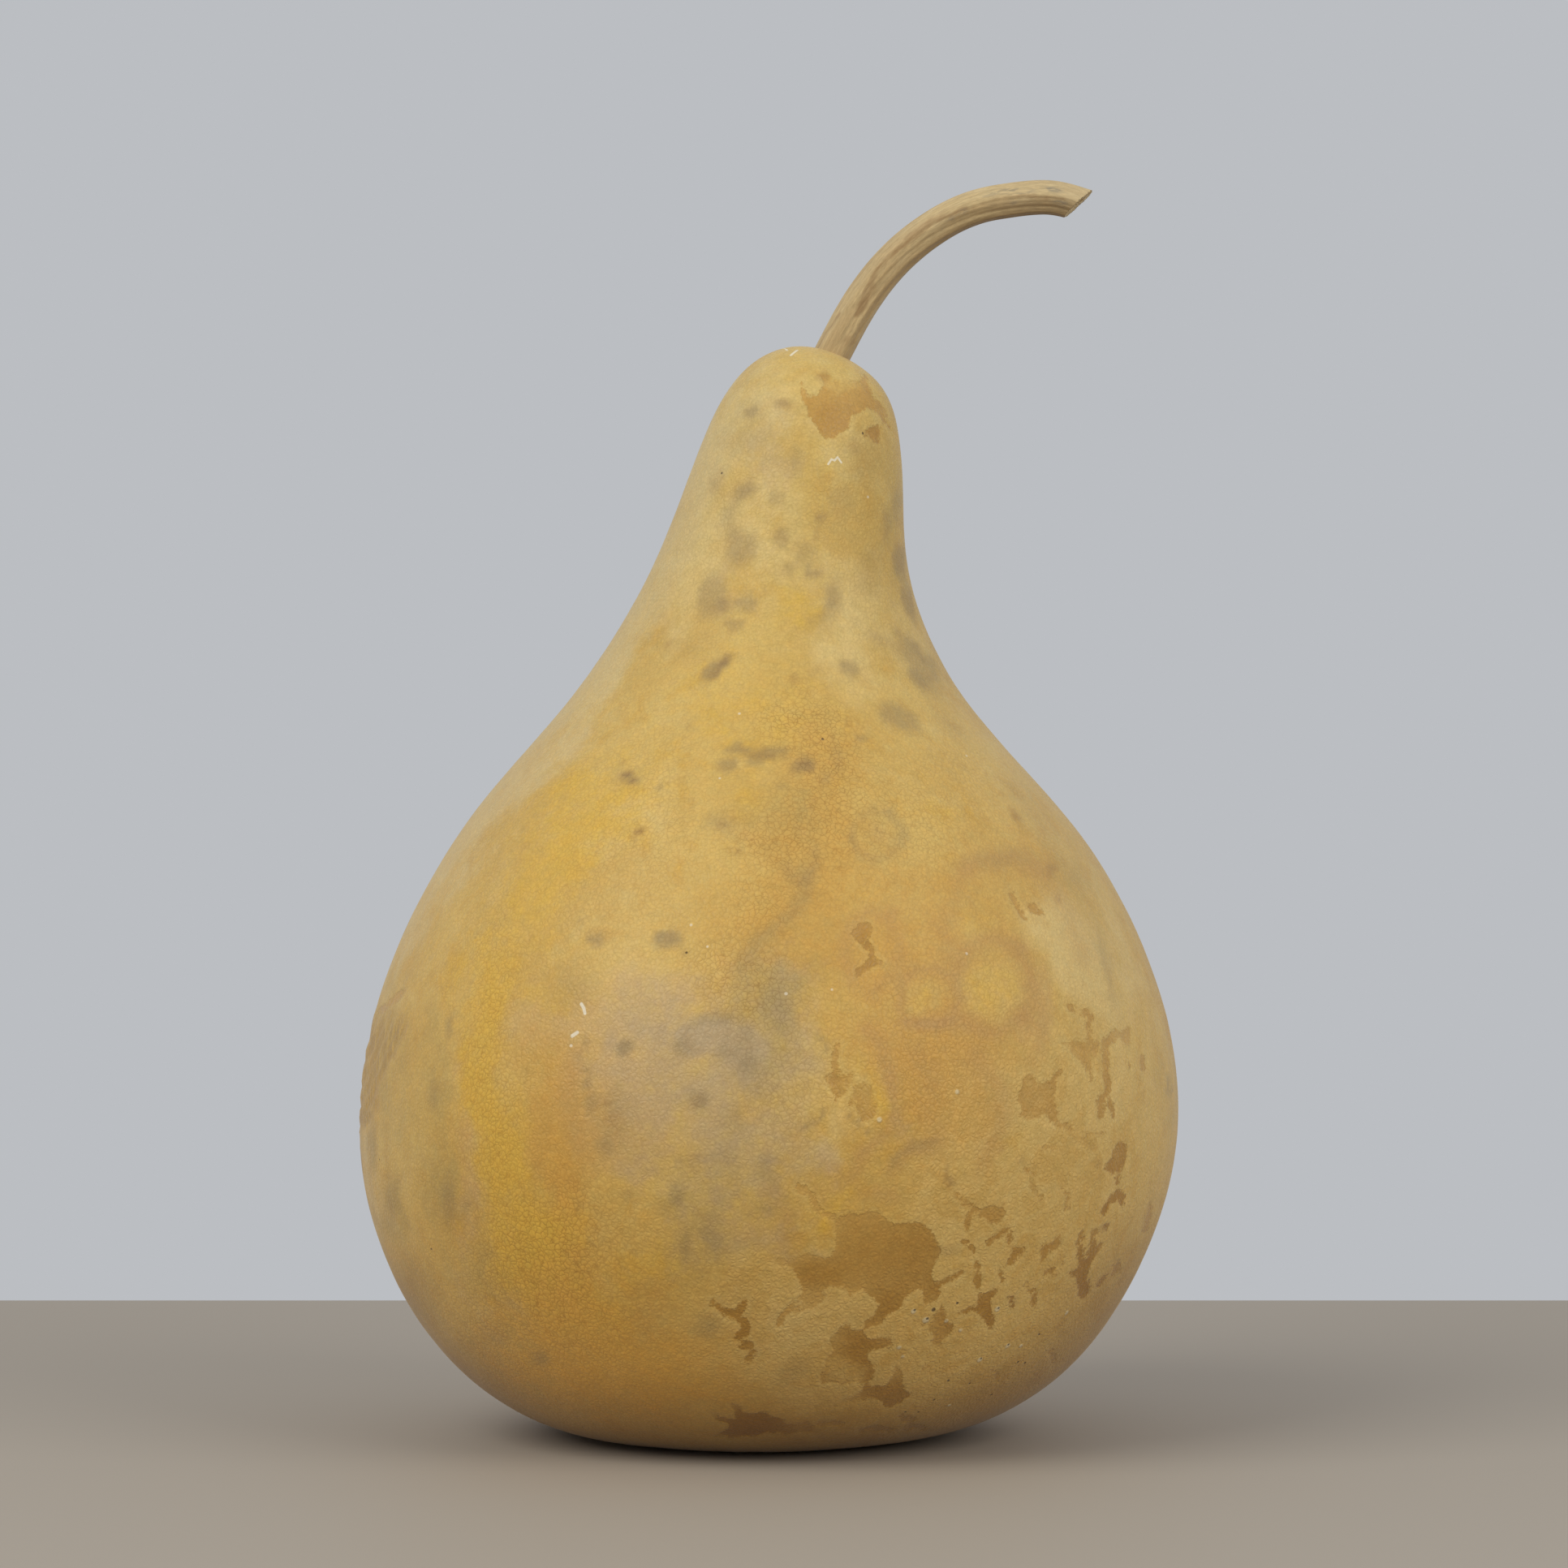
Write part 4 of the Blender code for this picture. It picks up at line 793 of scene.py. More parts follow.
WARTS = (
    (0.5, (27, 76.4)), (0.45, (46, 83.2)), (0.55, (35.3, 29.6)), (0.75, (38.3, 27.5)), (0.45, (31.8, 20.8)),
    (0.35, (32.7, 18.6)), (0.4, (43.3, 27.3)), (0.4, (46.8, 25)), (0.65, (55.8, 30.2)), (0.6, (58.3, 21.2)),
    (0.45, (61.5, 21.2)), (0.65, (51.5, 17.8)), (0.5, (72.7, 29.3)), (0.4, (44, 6.7)),
)
PITS = (
    (0.45, (40.2, 30)), (0.28, (46, 31.6)), (0.3, (43.8, 12.7)), (0.3, (54.3, 9.3)), (0.28, (60.8, 17.2)),
    (0.3, (40.3, 8)), (0.25, (33.3, 5)), (0.25, (36.5, 5)), (0.22, (-20.1, 117.2)), (0.22, (-11.5, 234.3)),
    (0.3, (62.5, 17)), (0.25, (49, 12)), (0.25, (66, 24)), (0.25, (35.6, 29.9)), (0.3, (38.7, 27.8)),
    (0.25, (56.1, 30.4)), (0.25, (58.5, 21.5)), (0.25, (51.8, 18.1)),
)


class Recipe:
    """The nodes that make up a material or a group. Each call adds one and gives its result."""

    def __init__(self, tree):
        self.tree = tree

    def put(self, kind, inputs=(), **settings):
        """Adds a node with its settings, and fills its inputs with numbers or other nodes' results."""
        node = self.tree.nodes.new(kind)
        for name, value in settings.items():
            setattr(node, name, value)
        for key, value in dict(inputs).items():
            if isinstance(value, bpy.types.NodeSocket):
                self.tree.links.new(value, node.inputs[key])
            else:
                node.inputs[key].default_value = value
        return node

    def reckon(self, operation, *values, clamp=False):
        """One sum of two or three numbers or results."""
        inputs = dict(enumerate(values))
        return self.put("ShaderNodeMath", inputs, operation=operation, use_clamp=clamp).outputs[0]

    def times(self, a, b, clamp=False):
        """A times b."""
        return self.reckon("MULTIPLY", a, b, clamp=clamp)

    def line(self, value, slope, start, clamp=False):
        """Value times slope, plus start."""
        return self.reckon("MULTIPLY_ADD", value, slope, start, clamp=clamp)

    def ease(self, value, low, high, start=0.0, end=1.0):
        """Start up to low and end from high, with a smooth step between them."""
        inputs = {"Value": value, "From Min": low, "From Max": high, "To Min": start, "To Max": end}
        return self.put("ShaderNodeMapRange", inputs, interpolation_type="SMOOTHSTEP").outputs[0]

    def blend(self, share, under, over, kind="MIX"):
        """One colour over another by a share."""
        inputs = {0: share, 6: under, 7: over}
        return self.put("ShaderNodeMix", inputs, data_type="RGBA", blend_type=kind).outputs[2]

    def stain(self, colour, share, strength, stain):
        """A stain over a colour by a share times a strength."""
        return self.blend(self.times(share, strength), colour, stain)

    def filtered(self, colour, glass):
        """A colour times another."""
        return self.blend(1.0, colour, glass, "MULTIPLY")

    def mottle(self, where, size, detail=3.0, roughness=0.55, warp=0.0, result="Fac"):
        """Cloudy noise from 0 to 1 whose clouds are about so many millimetres across."""
        inputs = {"Vector": where, "Scale": 1000 / size, "Detail": detail, "Roughness": roughness}
        return self.put("ShaderNodeTexNoise", {**inputs, "Distortion": warp}).outputs[result]

    def three_clouds(self, where, size):
        """Three unlike cloudy noises from one, by its colour's channels."""
        noise = self.mottle(where, size, 3, 0.6, 0.2, "Color")
        return list(self.put("ShaderNodeSeparateColor", {0: noise}).outputs)

    def painted(self, name):
        """A layer that was kept on the mesh."""
        return self.put("ShaderNodeAttribute", attribute_name=name).outputs["Fac"]

    def drawn_out(self, where, length, turn=0.0):
        """Places squeezed along one axis, so that noise there is drawn out along it."""
        inputs = {"Vector": where, "Rotation": (0, turn, 0), "Scale": (1, 1, length)}
        return self.put("ShaderNodeMapping", inputs).outputs[0]

    def space(self, operation, inputs, result="Value"):
        """One sum of places in space."""
        return self.put("ShaderNodeVectorMath", inputs, operation=operation).outputs[result]

    def nearest_dot(self, where, rows):
        """Millimetres to the edge of the nearest of some dots on the skin."""
        found = []
        for radius, *dots in rows:
            found += [(radius, self.space("DISTANCE", {0: where, 1: tuple(on_skin(*dot))})) for dot in dots]
        return self.nearest(found)

    def nearest_line(self, where, rows):
        """Millimetres to the edge of the nearest of some fine lines on the skin: the distance to the
        place a + (b - a) * clamp(((p - a) . (b - a)) / |b - a|^2) on each of their straight parts."""
        found = []
        for radius, *stops in rows:
            for start, end in zip(stops, stops[1:]):
                a = on_skin(*start)
                way = on_skin(*end) - a
                off = self.space("SUBTRACT", {0: where, 1: tuple(a)}, "Vector")
                ahead = self.space("DOT_PRODUCT", {0: off, 1: tuple(way / (way @ way))})
                ahead = self.reckon("ADD", ahead, 0.0, clamp=True)
                foot = self.space("SCALE", {0: tuple(way), "Scale": ahead}, "Vector")
                found.append((radius, self.space("DISTANCE", {0: off, 1: foot})))
        return self.nearest(found)

    def nearest(self, found):
        """The least of some distances in metres, each less a radius in millimetres, in millimetres."""
        edges = [self.line(far, 1000.0, -radius) for radius, far in found]
        best = edges[0]
        for edge in edges[1:]:
            best = self.reckon("MINIMUM", best, edge)
        return best

    def grained(self, where, colour, size, strength):
        """A colour with fine grain on it, and the grain's height."""
        inputs = {"Where": where, "Colour": colour, "Size": size, "Strength": strength}
        results = self.put("ShaderNodeGroup", inputs, node_tree=fine_grain).outputs
        return results["Colour"], results["Height"]

    def finish(self, colour, roughness, height, specular, sheen, bumpiness):
        """Joins the results to the shader of a dry, faintly velvety surface."""
        shader = self.tree.nodes["Principled BSDF"]
        bump = self.put("ShaderNodeBump", {"Height": height, "Distance": 1.0, "Strength": bumpiness})
        for socket, value in (("Base Color", colour), ("Roughness", roughness), ("Normal", bump.outputs[0])):
            self.tree.links.new(value, shader.inputs[socket])
        shader.inputs["Specular IOR Level"].default_value = specular
        shader.inputs["Sheen Weight"].default_value = sheen
        shader.inputs["Sheen Roughness"].default_value = 0.5


# The fine grain of anything dry and grown, used by the rind and by the stalk: noise of a given size
# in millimetres makes the colour lighter and darker by a share, and is given as a height too.
fine_grain = bpy.data.node_groups.new("fine grain", "ShaderNodeTree")
for way, sockets in (
    ("INPUT", {"Where": "NodeSocketVector", "Colour": "NodeSocketColor"}),
    ("INPUT", {"Size": "NodeSocketFloat", "Strength": "NodeSocketFloat"}),
    ("OUTPUT", {"Colour": "NodeSocketColor", "Height": "NodeSocketFloat"}),
):
    for socket, kind in sockets.items():
        fine_grain.interface.new_socket(socket, in_out=way, socket_type=kind)
given = fine_grain.nodes.new("NodeGroupInput").outputs
result = fine_grain.nodes.new("NodeGroupOutput").inputs
grain = Recipe(fine_grain)
grain_scale = grain.reckon("DIVIDE", 1000.0, given["Size"])
grains = {"Vector": given["Where"], "Scale": grain_scale, "Detail": 2.0, "Roughness": 0.6}
grains = grain.put("ShaderNodeTexNoise", grains).outputs["Fac"]
swing = grain.reckon("SUBTRACT", grains, 0.5)
lightness = grain.line(swing, grain.times(given["Strength"], 4.0), 1.0)
grain_grey = grain.put("ShaderNodeCombineColor", {0: lightness, 1: lightness, 2: lightness}).outputs[0]
fine_grain.links.new(grain.filtered(given["Colour"], grain_grey), result["Colour"])
fine_grain.links.new(grains, result["Height"])

# Colours of the rind.
OCHRE = (0.585, 0.395, 0.105, 1)
OCHRE_DEEP = (0.54, 0.345, 0.080, 1)
OCHRE_BROWN = (0.50, 0.29, 0.05, 1)
OCHRE_PALE = (0.60, 0.44, 0.145, 1)
# The two ends of the painted warm light thrown up by the table, at the crown and at the foot.
CROWN_BOUNCE_TINT = (0.98, 1.0, 1.08, 1)
FOOT_BOUNCE_TINT = (1.03, 0.96, 0.90, 1)
LOBE_TINT = (0.93, 0.88, 0.76, 1)
CRACK_TINT = (0.52, 0.40, 0.25, 1)
WARM_TINT = (1.05, 0.97, 0.86, 1)
ZONE_COLOURS = (
    ("straw", (0.64, 0.475, 0.180, 1), 0.9),
    ("rose", (0.53, 0.355, 0.145, 1), 0.95),
    ("golden", (0.61, 0.380, 0.051, 1), 0.95),
    ("olive", (0.43, 0.305, 0.090, 1), 0.95),
    ("ginger", (0.53, 0.305, 0.060, 1), 0.95),
    ("amber", (0.61, 0.352, 0.062, 1), 0.9),
    ("violet", (0.41, 0.310, 0.175, 1), 0.9),
    ("bloom", (0.60, 0.458, 0.205, 1), 0.62),
)
RUST = (0.44, 0.248, 0.078, 1)
MOULD_GREY = (0.265, 0.182, 0.080, 1)
UMBER_BROWN = (0.19, 0.085, 0.03, 1)
CRUST_TAN = (0.585, 0.41, 0.130, 1)
CRUST_PALE = (0.65, 0.48, 0.19, 1)
BARE_LIGHT = (0.515, 0.300, 0.074, 1)
BARE_DARK = (0.350, 0.170, 0.021, 1)
WRINKLE_TAN = (0.47, 0.295, 0.095, 1)
WRINKLE_BROWN = (0.26, 0.14, 0.045, 1)
WART_PALE = (0.68, 0.56, 0.33, 1)
PIT_BLACK = (0.06, 0.03, 0.012, 1)
SCUFF_WHITE = (0.80, 0.74, 0.60, 1)
SHADE_LOSSES = 0.36, 0.43, 0.54  # of red, green and blue
BIG_CLOUD = 38
MIDDLE_CLOUD = 9
SMALL_CLOUD = 2.6

skin = bpy.data.materials.new("gourd rind")
skin.use_nodes = True
rind = Recipe(skin.node_tree)
where = rind.put("ShaderNodeTexCoord").outputs["Object"]
clouds = rind.three_clouds(where, MIDDLE_CLOUD)
small_clouds = rind.three_clouds(where, SMALL_CLOUD)
cloud_mid, cloud_small = clouds[0], small_clouds[0]
colour = rind.blend(rind.ease(rind.mottle(where, BIG_CLOUD, 4), 0.35, 0.65), OCHRE, OCHRE_DEEP)
colour = rind.stain(colour, rind.ease(clouds[2], 0.5, 0.72), 0.5, OCHRE_BROWN)
colour = rind.stain(colour, rind.ease(clouds[1], 0.5, 0.75), 0.45, OCHRE_PALE)
for i, (name, zone_colour, strength) in enumerate(ZONE_COLOURS):
    # A zone frays into its neighbours: its own strength plus clouds of two sizes, then a soft threshold.
    frayed = rind.line(clouds[i % 3], 0.9, rind.line(small_clouds[(i + 1) % 3], 0.5, -0.70))
    frayed = rind.reckon("ADD", frayed, rind.painted(name))
    colour = rind.blend(rind.ease(frayed, 0.12, 0.95, 0.0, strength), colour, zone_colour)
# Painted warm light thrown up by the table, weakest at the crown and strongest at the foot.
bounce_tint = rind.blend(rind.painted("bounce_warmth"), CROWN_BOUNCE_TINT, FOOT_BOUNCE_TINT)
colour = rind.filtered(colour, bounce_tint)

# The crust of outer skin, with faint lobes in it.
crust = rind.painted("crust")
crust_share = rind.ease(rind.line(cloud_mid, 0.3, crust), 0.2, 1.25)
crust_colour = rind.blend(rind.times(rind.ease(cloud_small, 0.3, 0.75), 0.45), CRUST_TAN, CRUST_PALE)
colour = rind.stain(colour, crust_share, 0.60, rind.filtered(crust_colour, bounce_tint))
lobes = rind.ease(rind.mottle(where, 11, 3, 0.6, 0.5), 0.52, 0.56)
lobes = rind.times(lobes, rind.times(crust_share, 0.75))
colour = rind.blend(lobes, colour, rind.filtered(colour, LOBE_TINT))

# The rind laid bare where the skin has scaled off. Noise of two sizes frays its edge, and small flecks
# of it are strewn over the crust. The skin is pale round the edge.
fray = rind.line(small_clouds[1], 2.4, rind.line(rind.mottle(where, 0.9, 3, 0.7), 1.9, -2.12))
edge = rind.reckon("ADD", rind.painted("scaled"), fray)
flecks = rind.ease(small_clouds[2], 0.64, 0.72)
flecks = rind.times(flecks, rind.ease(rind.times(crust, clouds[1]), 0.50, 0.62))
scaled_share = rind.reckon("MAXIMUM", rind.ease(edge, -0.30, 0.25, 1.0, 0.0), rind.times(flecks, 0.7))
film = rind.line(cloud_small, 0.4, rind.painted("faded"))
scaled_share = rind.times(scaled_share, rind.ease(film, 0.1, 1.1, 1.0, 0.15))
rim_share = rind.times(rind.ease(edge, 0.15, 0.5), rind.ease(edge, 0.5, 1.5, 1.0, 0.0))
bareness = rind.line(cloud_mid, 0.35, rind.reckon("SUBTRACT", rind.painted("bare"), 0.17), clamp=True)
colour = rind.stain(colour, rim_share, 0.12, CRUST_PALE)
colour = rind.stain(colour, scaled_share, 0.90, rind.blend(bareness, BARE_LIGHT, BARE_DARK))

# Rusty bands, mould and bruises: each layer times a little more or less than 1 by the small clouds.
for name, swing, least, strength, stain in (
    ("rusty", 1.2, 0.3, 0.90, RUST),
    ("mould", 0.9, 0.8, 0.85, MOULD_GREY),
    ("umber", 0.8, 0.4, 0.8, UMBER_BROWN),
):
    share = rind.times(rind.painted(name), rind.line(cloud_small, swing, least), clamp=True)
    colour = rind.stain(colour, share, strength, stain)

# The crazed skin: pebbles about a millimetre across between fine darker cracks.
PEBBLE_SIZE = 1.25
bend = rind.put("ShaderNodeTexNoise", {"Vector": where, "Scale": 700.0, "Detail": 1.0}).outputs["Color"]
bent = rind.space("MULTIPLY_ADD", {0: bend, 1: (0.0011, 0.0011, 0.0011), 2: where}, "Vector")
pebbles = {"Vector": bent, "Scale": 1000 / PEBBLE_SIZE, "Randomness": 1.0}
pebbles = rind.put("ShaderNodeTexVoronoi", pebbles, feature="DISTANCE_TO_EDGE").outputs["Distance"]
crack = rind.ease(pebbles, 0.0, 0.11, 1.0, 0.0)
crazed = rind.times(rind.line(rind.painted("crazed"), 0.38, 0.07), rind.line(small_clouds[2], 2.0, 0.2))
crazed = rind.times(crazed, rind.line(crust_share, -0.6, 1.0))
colour = rind.blend(rind.times(crack, crazed, clamp=True), colour, rind.filtered(colour, CRACK_TINT))
# Cloudy tone, with each pebble painted a little lighter in its middle and darker towards its cracks as
# painted shade of its relief.
tone_and_pebble_shade = rind.times(rind.line(cloud_small, 0.24, 0.90), rind.ease(pebbles, 0.0, 0.4, 0.965, 1.015))
# Painted shade close to the ground and at the lower edges, taken off red, green and blue by the shade losses.
shade = rind.painted("shade")
tones = [rind.times(tone_and_pebble_shade, rind.line(shade, -loss, 1.0)) for loss in SHADE_LOSSES]
tone_and_shade_colour = rind.put("ShaderNodeCombineColor", dict(enumerate(tones))).outputs[0]
colour = rind.filtered(colour, tone_and_shade_colour)
warmer = rind.filtered(colour, WARM_TINT)
colour = rind.stain(colour, rind.ease(small_clouds[1], 0.35, 0.65), 0.5, warmer)
colour, grit = rind.grained(where, colour, 0.55, 0.10)

# Wrinkles, pits with pale lips, stray pits, and white scuffs.
STRAY_PIT_GAP = 13
furrows = rind.mottle(rind.drawn_out(where, 0.18, -0.69), 1.2, 3, 0.6)
wrinkled = rind.painted("wrinkled")
wrinkle = rind.times(wrinkled, rind.ease(furrows, 0.40, 0.62, 1.0, 0.0))
colour = rind.stain(colour, wrinkled, 0.35, WRINKLE_TAN)
colour = rind.stain(colour, wrinkle, 0.38, WRINKLE_BROWN)
wart = rind.ease(rind.nearest_dot(where, WARTS), -0.2, 0.35, 1.0, 0.0)
colour = rind.stain(colour, wart, 0.7, WART_PALE)
stray = rind.put("ShaderNodeTexVoronoi", {"Vector": where, "Scale": 1000 / STRAY_PIT_GAP}).outputs
stray_red = rind.put("ShaderNodeSeparateColor", {0: stray["Color"]}).outputs[0]
stray_kept = rind.ease(stray_red, 0.70, 0.72, 1.0, 0.0)
stray_pit = rind.ease(rind.reckon("ADD", stray["Distance"], stray_kept), 0.012, 0.032, 1.0, 0.0)
pit = rind.reckon("MAXIMUM", rind.ease(rind.nearest_dot(where, PITS), -0.12, 0.16, 1.0, 0.0), stray_pit)
colour = rind.stain(colour, pit, 0.8, PIT_BLACK)
scuff = rind.ease(rind.nearest_line(where, SCUFFS), -0.1, 0.18, 1.0, 0.0)
speck = rind.ease(rind.nearest_dot(where, SPECKS), -0.15, 0.2, 0.7, 0.0)
colour = rind.stain(colour, rind.reckon("MAXIMUM", scuff, speck), 0.7, SCUFF_WHITE)

roughness = rind.line(crust_share, 0.08, rind.line(cloud_small, 0.16, 0.40))
roughness = rind.line(scaled_share, -0.10, roughness)
roughness = rind.line(crack, 0.08, roughness, clamp=True)
height = rind.times(scaled_share, -0.00010)
height = rind.line(rind.ease(pebbles, 0.0, 0.35), rind.line(crust_share, 0.00004, 0.00005), height)
for relief, metres in (
    (cloud_small, 0.00012), (grit, 0.00006), (wrinkle, -0.00018), (wart, 0.00015), (pit, -0.00025),
):
    height = rind.line(relief, metres, height)
rind.finish(colour, roughness, height, specular=0.30, sheen=0.14, bumpiness=1.0)
gourd.data.materials.append(skin)
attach(gourd, "root")
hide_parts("gourd")

# --- The stalk -------------------------------------------------------------------------------
# The woody stalk that the fruit hung from, still rooted in the crown. It is five-ribbed, dry and
# fibrous, bows over to the right and was cut off on the slant, where its pith has shrunk back.

STALK_PATH = np.array((
    (0.0131, 0.0052, 0.2592), (0.0205, 0.0042, 0.2729), (0.0283, 0.0027, 0.2839), (0.0402, 0.0011, 0.2941),
    (0.0501, 0.0003, 0.2989), (0.0600, -0.0004, 0.3009), (0.0698, -0.0012, 0.3012), (0.0800, -0.0020, 0.2984),
))
STALK_ROOT_RADIUS = 0.0045
STALK_TIP_RADIUS = 0.0041
STALK_TWIST = np.radians(38)
STALK_RIB_HEIGHT = 0.045  # share of the stalk's radius
STALK_START = 0.045  # share of the path, inside the crown
STALK_LENGTH = 0.094
STALK_MEAN_RADIUS = 0.0043
CUT_POINT = np.array([0.0754, -0.0016, 0.2997])
CUT_NORMAL = np.array([0.675, -0.060, -0.736])
CUT_NORMAL /= np.linalg.norm(CUT_NORMAL)
STALK_COLUMNS = 120
STALK_ROWS = 380
CUT_ROWS = 16

ends = STALK_PATH[1] - STALK_PATH[0], STALK_PATH[-1] - STALK_PATH[-2]
stalk_line = smooth_curve(STALK_PATH, ends[0] / np.linalg.norm(ends[0]), ends[1] / np.linalg.norm(ends[1]))


def stalk_surface(share, angle):
    """Places on the ribbed tube: the path at a share of its length plus radius times
    (1 + 4.5% cos 5 angle + finer fibres) in the directions square to it. The ribs and fibres
    turn slowly with the length."""
    middle = stalk_line(share)
    ahead = stalk_line(share + 1e-4) - stalk_line(share - 1e-4)
    ahead /= np.linalg.norm(ahead, axis=-1)[..., None]
    side = np.array([0.0, 1.0, 0.0]) - ahead[..., 1:2] * ahead
    side /= np.linalg.norm(side, axis=-1)[..., None]
    over = np.cross(ahead, side)
    turned = angle - STALK_TWIST * share
    wander = 0.5 * np.sin(9 * share + 2) + 0.3 * np.sin(23 * share)
    fibre = 0.012 * np.sin(11 * turned + wander) + 0.006 * np.sin(23 * turned - 2 * wander)
    fibre += 0.003 * np.sin(53 * turned + 3 * wander)
    from_groove = (turned + 2.35 - 0.15 * wander + np.pi) % (2 * np.pi) - np.pi
    groove = 0.07 * np.exp(-((from_groove / 0.16) ** 2))
    radius = STALK_ROOT_RADIUS + (STALK_TIP_RADIUS - STALK_ROOT_RADIUS) * share
    out = radius * (1 + STALK_RIB_HEIGHT * np.cos(5 * turned) + fibre - groove - 0.012)
    return middle + out[..., None] * (np.cos(angle)[..., None] * side + np.sin(angle)[..., None] * over)


# Each line along the stalk stops where it meets the slanting cut, a little raggedly.
stalk_angle = 2 * np.pi * np.arange(STALK_COLUMNS) / STALK_COLUMNS
probe = np.linspace(0.7, 1.0, 400)[:, None] + 0 * stalk_angle
beyond = (stalk_surface(probe, stalk_angle + 0 * probe) - CUT_POINT) @ CUT_NORMAL
stops = probe[(beyond > 0).argmax(0), 0]
ragged = np.random.default_rng(8).normal(0, 1, STALK_COLUMNS)
torn_side = np.cos(stalk_angle + 3.6) > 0.2
stops = stops - 0.0022 * np.abs(0.6 * ragged + 0.4 * np.roll(ragged, 1)) * (0.4 + 0.6 * torn_side)
share = np.linspace(STALK_START, 1, STALK_ROWS)[:, None] * stops
tube = stalk_surface(share, stalk_angle + 0 * share)
rim = tube[-1]
inward = np.linspace(0, 1, CUT_ROWS + 2)[1:-1, None, None]
cut_face = rim * (1 - inward) + rim.mean(0) * inward
hollow = np.clip((inward - 0.42) / 0.25, 0, 1)
splinter = 0.12 * np.sin(23 * stalk_angle + 5)[None, :, None] * np.clip(1 - inward * 1.2, 0, 1)
splinter = splinter + 0.10 * waves(cut_face, 0.0012, 21)[..., None]
cut_face = cut_face - CUT_NORMAL * (1.2 * hollow * hollow * (3 - 2 * hollow) + 0.14 + splinter) / 1000
stalk_points = np.concatenate([tube, cut_face])
root_middle = stalk_line(np.array([0.04]))[0]
stalk = closed_skin("stem.stalk", stalk_points, root_middle, cut_face[-1].mean(0))

# The unbent stalk, along which the fibres run, kept for its grain.
along = np.concatenate([share, share[-1:] + 0 * inward[..., 0]]) * STALK_LENGTH
shrink = np.concatenate([np.ones((STALK_ROWS, 1)), 1 - inward[..., 0]]) * STALK_MEAN_RADIUS
straight = np.stack([shrink * np.cos(stalk_angle), shrink * np.sin(stalk_angle), along], -1)
straight_ends = [straight[0].mean(0)], [straight[-1].mean(0)]
grain_layer = stalk.data.attributes.new("grain", "FLOAT_VECTOR", "POINT")
grain_layer.data.foreach_set(
    "vector", np.concatenate([straight_ends[0], straight.reshape(-1, 3), straight_ends[1]]).ravel()
)

# Stains, as they appear from the front.
STALK_BROWN = (
    (25.4, 278.6, 1.1, 2.2, 0.5, -30, 0.5), (23.2, 275.4, 1, 2.4, 0.7, -30, 0.5),
    (19.6, 266.4, 2.4, 1.8, 0.5, -25, 0.8), (22, 270, 0.9, 2.4, 0.35, -25, 0.8),
)
STALK_STREAKS = (
    (0.9, 0.75, ((21.4, 273), (23.8, 279), (26.6, 284), (30.7, 288.2), (35.8, 292.3), (40, 295.7),
                 (48.3, 299))),
    (0.4, 0.6, ((11.8, 264.6), (14, 268.6), (17.4, 273.4))),
    (0.6, 0.35, ((33, 291.6), (38.6, 296), (45, 299.6))),
    (0.7, 0.55, ((50, 299.4), (56, 301.4), (62, 302), (72, 301.2))),
)
STALK_GREY = (
    (60, 303.2, 4.6, 0.7, 0.6, 0, 0.7), (69.5, 303.6, 2.4, 0.7, 0.75, -6, 0.7),
    (71, 300.4, 2, 0.6, 0.55, -4, 0.7), (47.4, 298, 1.3, 0.8, 0.5, 30, 0.7),
    (59.6, 300.6, 1.2, 0.6, 0.45, 0, 0.7), (44.5, 296.4, 1.4, 0.6, 0.35, 35, 0.8),
    (24, 264.2, 0.8, 3, 0.6, -25, 0.8), (54, 302.4, 2, 0.6, 0.4, 12, 0.8),
)
stalk_right, stalk_up = seen_at(stalk_points)
stalk_normals = outward(stalk_points)
from_stalk = (EYE - [0.045, 0, 0.285]) / 1.25
stalk_shown = np.clip((stalk_normals @ from_stalk + 0.02) / 0.1, 0, 1)
on_cut = np.zeros(along.shape)
on_cut[STALK_ROWS:] = 1
in_hollow = np.zeros(along.shape)
in_hollow[STALK_ROWS:] = hollow[..., 0]
# Painted shade darkens the underside, the more so towards the tip.
under = np.clip((-stalk_normals[..., 2] - 0.05) / 0.8, 0, 1)
under = np.clip(under * (0.35 + 0.85 * along / STALK_LENGTH), 0, 1) * (1 - on_cut)
brown, grey = np.zeros(along.shape), np.zeros(along.shape)
add_spots(brown, stalk_right, stalk_up, stalk_shown, STALK_BROWN)
add_strokes(brown, stalk_right, stalk_up, stalk_shown, STALK_STREAKS)
add_spots(grey, stalk_right, stalk_up, stalk_shown, STALK_GREY)
for name, values in (
    ("under", under), ("brown", brown), ("grey", grey), ("cut", on_cut), ("hollow", in_hollow),
    ("tip", np.clip(along / STALK_LENGTH / 0.3 - 2.2, 0, 1)), ("foot", np.clip(1 - along / 0.016, 0, 1)),
):
    keep_layer(stalk, name, values)

# Colours of the wood.
WOOD = (0.57, 0.425, 0.213, 1)
WOOD_STREAK = (0.47, 0.325, 0.155, 1)
WOOD_PALE = (0.60, 0.47, 0.26, 1)
WOOD_FIBRE = (0.25, 0.16, 0.07, 1)
WOOD_TIP = (0.50, 0.385, 0.215, 1)
WOOD_UNDER_SHADE = (0.25, 0.165, 0.080, 1)
WOOD_BROWN = (0.26, 0.14, 0.055, 1)
WOOD_GREY = (0.13, 0.125, 0.11, 1)
WOOD_FOOT = (0.20, 0.12, 0.05, 1)
CUT_PALE = (0.60, 0.49, 0.29, 1)
CUT_BROWN = (0.42, 0.30, 0.15, 1)
PITH_BROWN = (0.20, 0.13, 0.06, 1)

